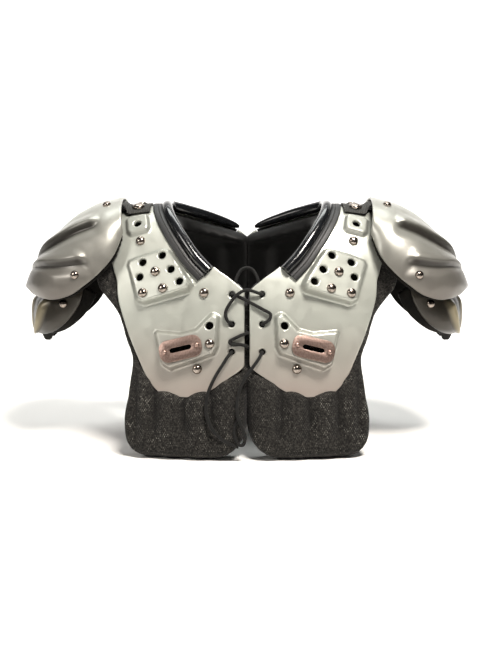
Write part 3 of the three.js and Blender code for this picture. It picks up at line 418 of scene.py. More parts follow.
def unplaced(point):
    """A point of the frame's metres in the arch's millimetres."""
    return Vector((point.x, point.y - ARCH_MIDDLE_Y * MM, point.z)) / MM


def edges_at(outline, station):
    """Inner and outer edge of a piece at a station, in millimetres from the middle."""
    return [table_value(outline, station, column) * ARCH_HALF_WIDTH for column in (1, 2)]


def roll_line(station):
    return table_value(ROLL_LINE, station, 1) * ARCH_HALF_WIDTH


# Making meshes
def select_only(*objects):
    bpy.ops.object.select_all(action="DESELECT")
    for obj in objects:
        obj.select_set(True)
    bpy.context.view_layer.objects.active = objects[0]


def edited(obj, *steps):
    """Runs edit-mode steps on all of an object."""
    select_only(obj)
    bpy.ops.object.mode_set(mode="EDIT")
    bpy.ops.mesh.select_all(action="SELECT")
    for step in steps:
        step()
    bpy.ops.object.mode_set(mode="OBJECT")
    return obj


def edged(obj, chosen, step, **settings):
    """Runs an edit-mode step on the edges for which chosen(end, other_end) holds."""
    select_only(obj)
    bpy.context.tool_settings.mesh_select_mode = (False, True, False)
    bpy.ops.object.mode_set(mode="EDIT")
    bpy.ops.mesh.select_all(action="DESELECT")
    bpy.ops.object.mode_set(mode="OBJECT")
    for edge in obj.data.edges:
        edge.select = chosen(*[obj.data.vertices[k].co for k in edge.vertices])
    bpy.ops.object.mode_set(mode="EDIT")
    step(**settings)
    bpy.ops.object.mode_set(mode="OBJECT")
    bpy.context.tool_settings.mesh_select_mode = (True, False, False)
    return obj


def outward():
    bpy.ops.mesh.normals_make_consistent(inside=False)


def added(name, adder, **sizes):
    """A primitive with its name, the only thing selected."""
    bpy.ops.object.select_all(action="DESELECT")
    adder(**sizes)
    obj = bpy.context.object
    obj.name = name
    obj.data.name = name
    return obj


def formed(name, columns, rows, outer, inner, shade=None):
    """Closed body between two skins. Each skin gives a point for shares (u, v) from 0 to 1, and shade gives
    how much painted shade it takes there."""
    obj = added(name, bpy.ops.mesh.primitive_grid_add, x_subdivisions=columns, y_subdivisions=rows, size=1)

    def thickened():
        bpy.ops.mesh.extrude_region_move(TRANSFORM_OT_translate={"value": (0, 0, 1)})

    edited(obj, thickened, outward)
    # Painted shade on each vertex, for the paint to mix in
    painted_shade = obj.data.attributes.new("painted_shade", "FLOAT", "POINT")
    for vertex, mark in zip(obj.data.vertices, painted_shade.data):
        u, v = vertex.co.x + 0.5, vertex.co.y + 0.5
        mark.value = shade(u, v) if shade else 0
        skin = outer if vertex.co.z > 0.5 else inner
        vertex.co = placed(skin(u, v))
    return edited(obj, outward)


def turned(name, profile, sides):
    """Closed turned body about Z: profile is (radius, height) places, from its foot up."""
    radius, height = profile[0]
    obj = added(
        name, bpy.ops.mesh.primitive_circle_add, vertices=sides, radius=radius, fill_type="NGON",
        location=(0, 0, height),
    )
    select_only(obj)
    bpy.ops.object.transform_apply(location=True, rotation=False, scale=False)

    def lathe():
        for (r0, h0), (r1, h1) in zip(profile, profile[1:]):
            bpy.ops.mesh.extrude_region_move(TRANSFORM_OT_translate={"value": (0, 0, h1 - h0)})
            bpy.ops.transform.resize(value=(r1 / r0, r1 / r0, 1), center_override=(0, 0, 0))

    edited(obj, lathe)
    return edited(obj, outward)


def swept(name, path, frames, section, sizes=None):
    """Closed body of a section along a path: frames gives the section's two directions at each
    point, and sizes its share of its full size. Its UV map runs round it and along it, in metres."""
    count = len(section)
    middle_a = sum(a for a, b in section) / count
    middle_b = sum(b for a, b in section) / count
    vertices = []
    for point, (side, up), size in zip(path, frames, sizes or [1] * len(path)):
        for a, b in section:
            place = side * mix(middle_a, a, size) + up * mix(middle_b, b, size)
            vertices.append(placed(point + place))
    faces = []
    for i in range(len(path) - 1):
        for j in range(count):
            k = (j + 1) % count
            faces.append((i * count + j, i * count + k, (i + 1) * count + k, (i + 1) * count + j))
    last = (len(path) - 1) * count
    faces.append(tuple(range(count))[::-1])
    faces.append(tuple(range(last, last + count)))
    mesh = bpy.data.meshes.new(name)
    mesh.from_pydata(vertices, [], faces)
    obj = bpy.data.objects.new(name, mesh)
    bpy.context.scene.collection.objects.link(obj)
    around = [0]
    for a, b in zip(section, section[1:] + section[:1]):
        around.append(around[-1] + math.dist(a, b) * MM)
    along = [0]
    for a, b in zip(path, path[1:]):
        along.append(along[-1] + (b - a).length * MM)
    coordinates = mesh.uv_layers.new(name="cloth").data
    for face in mesh.polygons:
        for loop in face.loop_indices:
            ring, place = divmod(mesh.loops[loop].vertex_index, count)
            wraps = place == 0 and any(k % count == count - 1 for k in face.vertices)
            coordinates[loop].uv = (around[count if wraps else place], along[ring])
    return edited(obj, outward)


def level_frames(path):
    """Section directions along a path, carried on from point to point without a twist."""
    course = (path[1] - path[0]).normalized()
    side = course.orthogonal().normalized()
    frames = []
    for i in range(len(path)):
        course = (path[min(i + 1, len(path) - 1)] - path[max(i - 1, 0)]).normalized()
        side = (side - course * side.dot(course)).normalized()
        frames.append((side, course.cross(side)))
    return frames


def round_section(radius, sides):
    turns = [2 * math.pi * k / sides for k in range(sides)]
    return [(radius * math.cos(turn), radius * math.sin(turn)) for turn in turns]


def modified(obj, kind, **settings):
    """Adds a modifier with its settings and applies it."""
    modifier = obj.modifiers.new(kind.title(), kind)
    for name, value in settings.items():
        setattr(modifier, name, value)
    select_only(obj)
    bpy.ops.object.modifier_apply(modifier=modifier.name)
    return obj


def joined(objects):
    select_only(*objects)
    if len(objects) > 1:
        bpy.ops.object.join()
    return objects[0]


def cut(obj, cutters):
    """Takes the cutters out of an object."""
    cutter = joined(cutters)
    modified(obj, "BOOLEAN", object=cutter, operation="DIFFERENCE", solver="EXACT")
    bpy.data.objects.remove(cutter)
    return obj


def smoothed(obj, degrees):
    select_only(obj)
    bpy.ops.object.shade_smooth_by_angle(angle=math.radians(degrees))
    return obj


def copied(obj, name, matrix):
    """A copy with its own mesh, moved by a matrix. A mirrored copy is turned right side out."""
    twin = obj.copy()
    twin.data = obj.data.copy()
    twin.name = name
    twin.data.name = name
    bpy.context.scene.collection.objects.link(twin)
    twin.data.transform(matrix)
    if matrix.determinant() < 0:
        edited(twin, bpy.ops.mesh.flip_normals)
    return twin


def mapped(obj, spread):
    """UV map in metres: spread(point) is a point's place on the flat cloth or metal."""
    layer = obj.data.uv_layers.new(name="cloth")
    places = [spread(vertex.co) for vertex in obj.data.vertices]
    for loop in obj.data.loops:
        layer.data[loop.index].uv = places[loop.vertex_index]
    return obj


def unrolled(point):
    """Place of a point unrolled from the arch: across, and along it from the front hem."""
    return point.x, station_of(unplaced(point)) / 180 * ARCH_LENGTH * MM


def from_above(point):
    return point.xy


# Materials
def linear(code):
    """Linear colour of an sRGB hex code."""
    values = [int(code[i:i + 2], 16) / 255 for i in (1, 3, 5)]
    return [v / 12.92 if v <= 0.04045 else ((v + 0.055) / 1.055) ** 2.4 for v in values] + [1]


def add_node(tree, kind, inputs=None, output=0, **settings):
    """Adds a node with its settings, and its inputs as values or links, and gives one output. Inputs
    0 to 4 of a Map Range node are its value, the range that it comes from and the one that it goes
    to. Inputs 0, 6 and 7 and output 2 of a Mix node are its share and its colours."""
    node = tree.nodes.new(kind)
    for name, value in settings.items():
        setattr(node, name, value)
    for name, value in (inputs or {}).items():
        if isinstance(value, bpy.types.NodeSocket):
            tree.links.new(value, node.inputs[name])
        else:
            node.inputs[name].default_value = value
    return node.outputs[output]


def finish_base(name, **values):
    """New material: its tree and its Principled shader, with plain values set."""
    material = bpy.data.materials.new(name)
    material.use_nodes = True
    shader = material.node_tree.nodes["Principled BSDF"]
    for key, value in values.items():
        shader.inputs[key.replace("_", " ")].default_value = value
    return material, material.node_tree, shader


def linked(tree, shader, **outputs):
    """Links outputs to the shader's inputs of those names."""
    for key, output in outputs.items():
        tree.links.new(output, shader.inputs[key.replace("_", " ")])


def moulded_paint(name, base, painted_foot_light, dark, roughness, metallic, top, foot):
    """Polyethylene, injection moulded and sprayed silver: a satin skin with fine flake, a faint orange peel,
    painted light that changes its tone from the top down to the foot, scuffs that dull it, and painted shade
    in its pressed lines, between its ribs and round its bosses."""
    material, tree, shader = finish_base(name, Metallic=metallic, Coat_Weight=0.2, Coat_Roughness=0.25)
    place = add_node(tree, "ShaderNodeTexCoord", output="Object")
    height = add_node(tree, "ShaderNodeSeparateXYZ", {"Vector": place}, "Z")
    # Painted light: a share from the top down to the foot, towards the paint's second colour
    low = add_node(tree, "ShaderNodeMapRange", {0: height, 1: top * MM, 2: foot * MM})
    cloud = add_node(tree, "ShaderNodeTexNoise", {"Vector": place, "Scale": 1 / (45 * MM), "Detail": 3.0})
    clouded = add_node(tree, "ShaderNodeMapRange", {0: cloud, 1: 0.35, 2: 0.75, 4: 0.28})
    flake = add_node(tree, "ShaderNodeTexVoronoi", {"Vector": place, "Scale": 1 / (0.9 * MM)}, "Distance")
    glint = add_node(tree, "ShaderNodeMapRange", {0: flake, 1: 0.0, 2: 0.5, 4: 0.12})
    # Painted shade from each piece's attribute, mixed towards the shade colour
    painted_shade = add_node(tree, "ShaderNodeAttribute", output="Fac", attribute_name="painted_shade")
    painted_shade_mix = add_node(tree, "ShaderNodeMapRange", {0: painted_shade, 4: 0.95})
    tone = linear(base)
    for share, colour in ((low, painted_foot_light), (clouded, dark), (glint, dark), (painted_shade_mix, PAINTED_SHADE)):
        tone = add_node(tree, "ShaderNodeMix", {0: share, 6: tone, 7: linear(colour)}, 2, data_type="RGBA")
    scuff = add_node(tree, "ShaderNodeTexNoise", {"Vector": place, "Scale": 1 / (9 * MM), "Detail": 6.0})
    rough = {0: scuff, 1: 0.3, 2: 0.8, 3: roughness - 0.04, 4: roughness + 0.14}
    rough = add_node(tree, "ShaderNodeMapRange", rough)
    peel = add_node(tree, "ShaderNodeTexNoise", {"Vector": place, "Scale": 1 / (2.4 * MM), "Detail": 2.0})
    bump = add_node(tree, "ShaderNodeBump", {"Height": peel, "Strength": 0.06, "Distance": 0.2 * MM})
    linked(tree, shader, Base_Color=tone, Roughness=rough, Normal=bump)
    return material


def air_mesh():
    """Polyester spacer mesh, knitted: charcoal yarn round staggered holes 2.1 mm apart, whose rims catch the
    light as specks, and round the neck and next to the body a smooth black lining. Painted shade darkens the
    folds between the hem's lobes, a painted sheen lightens the lining's lip in front, and painted shade
    blackens the lining next to the body and on its lip behind."""
    pitch = 2.1 * MM
    material, tree, shader = finish_base(
        "air_mesh_polyester", Sheen_Weight=0.06, Sheen_Roughness=0.5, Specular_IOR_Level=0.15
    )
    spread = add_node(tree, "ShaderNodeUVMap", uv_map="cloth")
    place = add_node(tree, "ShaderNodeTexCoord", output="Object")
    slant = {"Vector": spread, "Rotation": (0, 0, math.radians(45)), "Scale": (1.41 / pitch,) * 3}
    weave = add_node(tree, "ShaderNodeMapping", slant)
    cell = {"Vector": weave, "Scale": 1.0, "Randomness": 0.12}
    cell = add_node(tree, "ShaderNodeTexVoronoi", cell, "Distance", voronoi_dimensions="2D")
    hole = add_node(tree, "ShaderNodeMapRange", {0: cell, 1: 0.36, 2: 0.2})
    patch = add_node(tree, "ShaderNodeTexNoise", {"Vector": place, "Scale": 1 / (22 * MM), "Detail": 3.0})
    grain = add_node(tree, "ShaderNodeTexNoise", {"Vector": place, "Scale": 1 / (1.6 * MM), "Detail": 4.0})
    glint = add_node(tree, "ShaderNodeTexNoise", {"Vector": place, "Scale": 1 / (3.1 * MM), "Detail": 5.0})
    patchy = add_node(tree, "ShaderNodeMapRange", {0: patch, 1: 0.4, 2: 0.65, 3: 0.1, 4: 0.8})
    speck = add_node(tree, "ShaderNodeMapRange", {0: glint, 1: 0.5, 2: 0.66})
    strength = add_node(tree, "ShaderNodeMath", {0: patchy, 1: speck}, operation="MULTIPLY")
    lit = add_node(tree, "ShaderNodeMath", {0: hole, 1: strength}, operation="MULTIPLY")
    fibre = add_node(tree, "ShaderNodeMapRange", {0: grain, 1: 0.42, 2: 0.72})
    # Painted shade in the folds between the hem's lobes
    fold_shade = add_node(tree, "ShaderNodeAttribute", output="Fac", attribute_name="fold_shade")
    fold_shade_share = add_node(tree, "ShaderNodeMapRange", {0: fold_shade, 4: 0.95})
    # The lining takes a painted sheen, and painted shade blackens it next to the body and on its lip behind
    lining_and_sheen = add_node(tree, "ShaderNodeAttribute", output="Fac", attribute_name="lining_and_sheen")
    inside = add_node(tree, "ShaderNodeAttribute", output="Fac", attribute_name="inside")
    tone = linear("#131211")
    layers = (
        (fibre, "#383633"), (lit, "#8b8982"), (fold_shade_share, "#0b0a0a"), (lining_and_sheen, "#323234"), (inside, "#050505"),
    )
    for share, colour in layers:
        tone = add_node(tree, "ShaderNodeMix", {0: share, 6: tone, 7: linear(colour)}, 2, data_type="RGBA")
    rough = add_node(tree, "ShaderNodeMapRange", {0: lining_and_sheen, 3: 0.9, 4: 0.5})
    sunk = add_node(tree, "ShaderNodeMapRange", {0: cell, 1: 0.5, 2: 0.15, 3: 0.0, 4: -0.8})
    relief = add_node(tree, "ShaderNodeMath", {0: sunk, 1: grain}, operation="ADD")
    relief = add_node(tree, "ShaderNodeMath", {0: patch, 1: 4.0, 2: relief}, operation="MULTIPLY_ADD")
    knitted = add_node(tree, "ShaderNodeMapRange", {0: lining_and_sheen, 3: 1.0, 4: 0.06})
    relief = add_node(tree, "ShaderNodeMath", {0: relief, 1: knitted}, operation="MULTIPLY")
    bump = add_node(tree, "ShaderNodeBump", {"Height": relief, "Strength": 0.6, "Distance": 0.6 * MM})
    linked(tree, shader, Base_Color=tone, Roughness=rough, Normal=bump)
    return material


def crumb_foam():
    """Black polyethylene foam, skived: matt, with closed cells about 1.5 mm across."""
    material, tree, shader = finish_base("closed_cell_foam", Roughness=0.85, Specular_IOR_Level=0.15)
    place = add_node(tree, "ShaderNodeTexCoord", output="Object")
    cells = add_node(tree, "ShaderNodeTexVoronoi", {"Vector": place, "Scale": 1 / (1.5 * MM)}, "Distance")
    cloud = add_node(tree, "ShaderNodeTexNoise", {"Vector": place, "Scale": 1 / (12 * MM), "Detail": 4.0})
    share = add_node(tree, "ShaderNodeMapRange", {0: cloud, 1: 0.35, 2: 0.7})
    tone = {0: share, 6: linear("#080706"), 7: linear("#171512")}
    tone = add_node(tree, "ShaderNodeMix", tone, 2, data_type="RGBA")
    bump = add_node(tree, "ShaderNodeBump", {"Height": cells, "Strength": 0.35, "Distance": 0.3 * MM})
    linked(tree, shader, Base_Color=tone, Normal=bump)
    return material


def vinyl(name, roughness, colour, light, coat):
    """Vinyl-coated fabric, calendered: black with a soft gloss, faint leather grain and creases
    that run across the roll."""
    material, tree, shader = finish_base(name, Coat_Weight=coat, Coat_Roughness=0.12)
    place = add_node(tree, "ShaderNodeTexCoord", output="Object")
    spread = add_node(tree, "ShaderNodeUVMap", uv_map="cloth")
    crease_at = add_node(tree, "ShaderNodeMapping", {"Vector": spread, "Scale": (0.25, 1, 1)})
    crease = add_node(tree, "ShaderNodeTexNoise", {"Vector": crease_at, "Scale": 1 / (7 * MM), "Detail": 3.0})
    grain = add_node(tree, "ShaderNodeTexNoise", {"Vector": place, "Scale": 1 / (0.8 * MM), "Detail": 3.0})
    share = add_node(tree, "ShaderNodeMapRange", {0: crease, 1: 0.3, 2: 0.75})
    tone = {0: share, 6: linear(colour), 7: linear(light)}
    tone = add_node(tree, "ShaderNodeMix", tone, 2, data_type="RGBA")
    rough = {0: grain, 1: 0.3, 2: 0.7, 3: roughness - 0.05, 4: roughness + 0.1}
    rough = add_node(tree, "ShaderNodeMapRange", rough)
    relief = add_node(tree, "ShaderNodeMath", {0: grain, 1: 0.25, 2: crease}, operation="MULTIPLY_ADD")
    bump = add_node(tree, "ShaderNodeBump", {"Height": relief, "Strength": 0.25, "Distance": 0.8 * MM})
    linked(tree, shader, Base_Color=tone, Roughness=rough, Normal=bump)
    return material


def woven(name, dark, light, pitch, direction):
    """Nylon webbing or thread, woven, or a lace's polyester, braided: ribs every pitch millimetres."""
    material, tree, shader = finish_base(
        name, Roughness=0.7, Sheen_Weight=0.05, Sheen_Roughness=0.4, Specular_IOR_Level=0.3
    )
    spread = add_node(tree, "ShaderNodeUVMap", uv_map="cloth")
    slant = add_node(tree, "ShaderNodeMapping", {"Vector": spread, "Rotation": (0, 0, direction)})
    ribs = {"Vector": slant, "Scale": 0.314 / (pitch * MM)}
    waves = [add_node(tree, "ShaderNodeTexWave", ribs, "Fac", bands_direction=axis) for axis in ("X", "Y")]
    weave = add_node(tree, "ShaderNodeMath", {0: waves[0], 1: waves[1]}, operation="MULTIPLY")
    tone = {0: weave, 6: linear(dark), 7: linear(light)}
    tone = add_node(tree, "ShaderNodeMix", tone, 2, data_type="RGBA")
    bump = add_node(tree, "ShaderNodeBump", {"Height": weave, "Strength": 0.7, "Distance": 0.35 * MM})
    linked(tree, shader, Base_Color=tone, Normal=bump)
    return material


def nickel():
    """Steel, nickel plated and polished: near a mirror, faintly warm, with fine wear."""
    material, tree, shader = finish_base("nickel_plated_steel", Metallic=1.0)
    place = add_node(tree, "ShaderNodeTexCoord", output="Object")
    wear = add_node(tree, "ShaderNodeTexNoise", {"Vector": place, "Scale": 1 / (1.6 * MM), "Detail": 5.0})
    share = add_node(tree, "ShaderNodeMapRange", {0: wear, 1: 0.35, 2: 0.7})
    tone = {0: share, 6: linear("#a39a92"), 7: linear("#72675f")}
    tone = add_node(tree, "ShaderNodeMix", tone, 2, data_type="RGBA")
    rough = add_node(tree, "ShaderNodeMapRange", {0: wear, 1: 0.3, 2: 0.75, 3: 0.14, 4: 0.3})
    linked(tree, shader, Base_Color=tone, Roughness=rough)
    return material


def brushed_aluminium():
    """Aluminium sheet, stamped and brushed along its length: streaks 0.5 mm apart that spread the
    highlight, scratched by the belt's hook."""
    material, tree, shader = finish_base("brushed_aluminium", Metallic=1.0)
    spread = add_node(tree, "ShaderNodeUVMap", uv_map="cloth")
    streak_at = add_node(tree, "ShaderNodeMapping", {"Vector": spread, "Scale": (0.06, 1, 1)})
    streaks = {"Vector": streak_at, "Scale": 1 / (0.5 * MM), "Detail": 4.0}
    streak = add_node(tree, "ShaderNodeTexNoise", streaks)
    scratch = add_node(tree, "ShaderNodeTexNoise", {"Vector": spread, "Scale": 1 / (1.5 * MM), "Detail": 6.0})
    share = add_node(tree, "ShaderNodeMapRange", {0: scratch, 1: 0.3, 2: 0.8})
    # The pinkish-brown tone is a painted reflection of a warm room, varied by scratches
    tone = {0: share, 6: linear("#b39a90"), 7: linear("#8a736a")}
    tone = add_node(tree, "ShaderNodeMix", tone, 2, data_type="RGBA")
    rough = add_node(tree, "ShaderNodeMapRange", {0: streak, 1: 0.3, 2: 0.7, 3: 0.28, 4: 0.46})
    bump = add_node(tree, "ShaderNodeBump", {"Height": streak, "Strength": 0.25, "Distance": 0.1 * MM})
    linked(tree, shader, Base_Color=tone, Roughness=rough, Normal=bump)
    return material


# Each paint's second colour is painted light at its foot: a pinkish painted reflection of a warm room on the
# plates, painted shade on the caps
PLATE_PAINT = moulded_paint(
    "silver_painted_polyethylene", "#b7bab2", "#998c85", "#9d9d95", 0.36, 0.5, top=125, foot=62
)
CAP_PAINT = moulded_paint(
    "grey_painted_polyethylene", "#a5a69f", "#57504b", "#75726d", 0.33, 0.5, top=215, foot=140
)
ARM_CAP_PAINT = moulded_paint(
    "beige_painted_polyethylene", "#989078", "#8b8168", "#766f5b", 0.34, 0.35, top=160, foot=110
)
AIR_MESH = air_mesh()
FOAM = crumb_foam()
BEAD_VINYL = vinyl("glossy_black_vinyl", 0.16, "#08090b", "#15171a", 0.4)
FLANGE_VINYL = vinyl("satin_black_vinyl", 0.5, "#0a0a0b", "#171719", 0.0)
WEBBING = woven("nylon_webbing", "#161615", "#45443f", 1.6, 0)
LACE_BRAID = woven("braided_polyester_lace", "#040404", "#131210", 0.8, math.radians(45))
THREAD = woven("bonded_nylon_thread", "#1c1b1a", "#5a5853", 0.4, math.radians(45))
NICKEL = nickel()
ALUMINIUM = brushed_aluminium()


def dressed(obj, material, slot, *nodes):
    """Gives a finished piece its material, and hides the CAD parts that it takes the place of."""
    obj.data.materials.clear()
    obj.data.materials.append(material)
    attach(obj, "root")
    if nodes:
        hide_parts(*nodes)
    return obj


# Camera
def camera():
    pitch = math.radians(CAMERA_PITCH)
    aim = Vector(CAMERA_AIM)
    lens = bpy.data.cameras.new("camera")
    lens.sensor_fit = "VERTICAL"
    lens.sensor_height = CAMERA_SENSOR
    lens.lens = CAMERA_LENS
    obj = bpy.data.objects.new("camera", lens)
    obj.location = aim + Vector((0, -math.cos(pitch), math.sin(pitch))) * CAMERA_DISTANCE
    obj.rotation_euler = (math.radians(90) - pitch, 0, 0)
    bpy.context.scene.collection.objects.link(obj)
    bpy.context.scene.camera = obj


camera()
bpy.context.scene.view_settings.view_transform = "Standard"


# Laces
def lace(name, route, per_span):
    """A braided lace along a route: its piece, and the line that it follows."""
    path = smooth_path([on_arch(*place) for place in route], per_span)
    obj = swept(name, path, level_frames(path), round_section(LACE_RADIUS, 12))
    smoothed(obj, 60)
    dressed(obj, LACE_BRAID, "lace", name[:-len("_cord")])
    return obj, path


def line_length(path):
    return sum((b - a).length for a, b in zip(path, path[1:])) * MM


lace("lace_front_cord", FRONT_LACE_ROUTE, 6)
lace("lace_back_cord", BACK_LACE_ROUTE, 6)
for side, route in (("left", LACE_TAIL_LEFT_ROUTE), ("right", LACE_TAIL_RIGHT_ROUTE)):
    tail, line = lace(f"lace_tail_{side}_cord", route, 8)
    placed(line[0])
    line_length(line)
    [placed(point) for point in line]


# Plates
def rim_spaced(share, count, width):
    """Distance across a width for the share that counts its lines, which lie closer at the rims."""
    k = round(share * count)
    if k <= RIM_LINES:
        return RIM_STEPS[k]
    if k >= count - RIM_LINES:
        return width - RIM_STEPS[count - k]
    within = (k - RIM_LINES) / (count - 2 * RIM_LINES)
    return mix(RIM_STEPS[RIM_LINES], width - RIM_STEPS[RIM_LINES], within)


def rim_drop(distance):
    """How far a rounded rim falls away, at a distance from its edge."""
    short = max(0, RIM_RADIUS - distance)
    return RIM_RADIUS - math.sqrt(RIM_RADIUS ** 2 - short ** 2)


class Boss:
    """Flat top of a boss, on the front of the arch or at its twin place behind."""

    def __init__(self, form, back):
        self.form = form
        self.back = back
        self.x = form["across"] * ARCH_HALF_WIDTH
        self.station = 180 - form["station"] if back else form["station"]
        self.across, along, self.out, self.rate = arch_frame(self.x, self.station)
        self.up = -along if back else along
        tilt = self.across * -form["slope_p"] + self.up * form["slope_q"]
        self.normal = (self.out + tilt).normalized()
        self.centre = on_arch(self.x, self.station, WALL + form["rise"])
        middle_p = sum(p for p, q in form["outline"]) / len(form["outline"])
        middle_q = sum(q for p, q in form["outline"]) / len(form["outline"])
        self.flat = []
        for p, q in form["outline"]:
            reach = math.hypot(p - middle_p, q - middle_q)
            shrink = 1 - BOSS_INSET / reach
            self.flat.append((mix(middle_p, p, shrink), mix(middle_q, q, shrink)))

    def reach(self, under):
        """Height of the flat top over a point of the plate's face."""
        return max(BOSS_LEAST_RISE, (self.centre - under).dot(self.normal) / self.out.dot(self.normal))

    def place(self, x, station):
        return x - self.x, (-1 if self.back else 1) * (station - self.station) * self.rate

    def rise(self, x, station, under):
        """Height of the boss over the plate's face there, with a rounded edge."""
        p, q = self.place(x, station)
        if max(abs(p), abs(q)) > BOSS_FIELD:
            return 0
        past = outline_distance(self.flat, p, q)
        return 0 if past >= BOSS_EDGE else self.reach(under) * (1 - smoothstep(past, 0.3, BOSS_EDGE))

    def side(self, x, station):
        """How much painted shade the boss takes at a place: most on its sides, a little on its top."""
        p, q = self.place(x, station)
        if max(abs(p), abs(q)) > BOSS_FIELD:
            return 0
        past = outline_distance(self.flat, p, q)
        steep = smoothstep(past, 0.5, 2.2) * (1 - smoothstep(past, 2.6, BOSS_EDGE + 0.6))
        return max(steep, BOSS_TOP_SHADE * (1 - smoothstep(past, 0, 1.5)))

    def top(self, p, q):
        under = on_arch(self.x + p, self.station + (-1 if self.back else 1) * q / self.rate, WALL)
        return under + self.out * self.reach(under)


BOSSES = [Boss(FIXING_BOSS, False), Boss(SHOULDER_BOSS, False), Boss(BELT_BOSS, False), Boss(BELT_BOSS, True)]
BELTS = {"front": BOSSES[2], "back": BOSSES[3]}


def plate_station(share):
    return table_value(PLATE_LINES, share, 1)


def plate_skin(face):
    base = WALL if face > 0 else 0

    def skin(u, v):
        station = plate_station(v)
        inner, outer = edges_at(PLATE_OUTLINE, station)
        across = rim_spaced(u, PLATE_COLUMNS, outer - inner)
        x = inner + across
        rate = arch_frame(x, station)[3]
        ends = min(station - PLATE_OUTLINE[0][0], PLATE_OUTLINE[-1][0] - station) * rate
        drop = rim_drop(min(across, outer - inner - across, ends))
        point = on_arch(x, station, base - face * drop)
        under = on_arch(x, station, WALL)
        for boss in BOSSES:
            point += boss.out * boss.rise(x, station, under)
        return point

    return skin


# Painted shade of a plate on its bosses' sides and tops
def plate_painted_shade(u, v):
    station = plate_station(v)
    inner, outer = edges_at(PLATE_OUTLINE, station)
    x = inner + rim_spaced(u, PLATE_COLUMNS, outer - inner)
    return 0.4 * max(boss.side(x, station) for boss in BOSSES)


def turn_to(axis):
    return Vector((0, 0, 1)).rotation_difference(axis).to_matrix().to_4x4()


def drilled(centre, axis, radius):
    """Cutter of a hole with a small chamfer at its mouth, which lies at centre."""
    wide = radius + CHAMFER
    profile = ((radius, -CUTTER_DEPTH), (radius, -CHAMFER), (wide, 0.05), (wide, CUTTER_REACH))
    cutter = turned("cutter", [(r * MM, h * MM) for r, h in profile], 28)
    cutter.data.transform(Matrix.Translation(placed(centre)) @ turn_to(axis))
    return cutter


def belt_frame(boss):
    """Centre and directions of a belt plate on its boss: along it, across it and outwards."""
    turn = math.radians(BELT_PLATE_TURN)
    across = (boss.across - boss.normal * boss.across.dot(boss.normal)).normalized()
    up = boss.normal.cross(across)
    if boss.back:
        up.negate()
    long = across * math.cos(turn) + up * math.sin(turn)
    return boss.top(*BELT_PLATE_CENTRE), long, boss.normal.cross(long), boss.normal


def belt_matrix(boss, height):
    centre, long, wide, normal = belt_frame(boss)
    turn = Matrix((long, wide, normal)).transposed().to_4x4()
    return Matrix.Translation(placed(centre + normal * height)) @ turn


def boxed(name, size, matrix):
    obj = added(name, bpy.ops.mesh.primitive_cube_add, size=1)
    obj.data.transform(matrix @ Matrix.Diagonal((*[s * MM for s in size], 1)))
    return obj


def roll_frames(stations):
    """Points of the neck roll's line, with its directions towards the neck and outwards."""
    line = [arch_point(roll_line(station), station) for station in stations]
    frames = []
    for i, station in enumerate(stations):
        course = (line[min(i + 1, len(line) - 1)] - line[max(i - 1, 0)]).normalized()
        out = arch_frame(roll_line(station), station)[2]
        frames.append((out.cross(course).normalized(), out))
    return line, frames


ROLL_STATIONS = [mix(ROLL_LINE[0][0], ROLL_LINE[-1][0], k / 90) for k in range(91)]


def roll_room():
    """Cutter of the room in a plate for the roll's bead."""
    line, frames = roll_frames(ROLL_STATIONS[::3])
    line[0] += (line[0] - line[1]).normalized() * FIT_GAP
    line[-1] += (line[-1] - line[-2]).normalized() * FIT_GAP
    reach = 4 * BEAD_RADIUS
    section = [(-ROLL_GAP, -reach), (reach, -reach), (reach, reach), (-ROLL_GAP, reach)]
    return swept("cutter", line, frames, section)


def plate():
    obj = formed("plate_left_shell", PLATE_COLUMNS, PLATE_ROWS, plate_skin(1), plate_skin(-0.5), plate_painted_shade)
    cutters = [roll_room()]
    for boss in BOSSES:
        for p, q in boss.form["holes"]:
            cutters.append(drilled(boss.top(p, q), boss.normal, BOSS_HOLE_RADIUS))
    for station in (*LACE_HOLE_STATIONS, *BACK_LACE_HOLE_STATIONS):
        out = arch_frame(LACE_HOLE_X, station)[2]
        cutters.append(drilled(on_arch(LACE_HOLE_X, station, WALL), out, LACE_HOLE_RADIUS))
    for boss in BELTS.values():
        size = (BELT_SLOT_LENGTH + 1, BELT_SLOT_WIDTH + 3, CUTTER_DEPTH)
        cutters.append(boxed("cutter", size, belt_matrix(boss, 0)))
    return smoothed(cut(obj, cutters), 50)


MIRROR = Matrix.Diagonal((-1, 1, 1, 1))


def paired(obj, stem, material, slot, nodes):
    """Dresses a piece of the left side and its mirrored twin on the right side."""
    twin = copied(obj, f"{stem}_right", MIRROR)
    obj.name = f"{stem}_left"
    obj.data.name = obj.name
    dressed(obj, material, slot, *[f"{node}_left" for node in nodes])
    dressed(twin, material, slot, *[f"{node}_right" for node in nodes])
    return obj, twin


paired(plate(), "plate_shell", PLATE_PAINT, "plate", ["plate"])


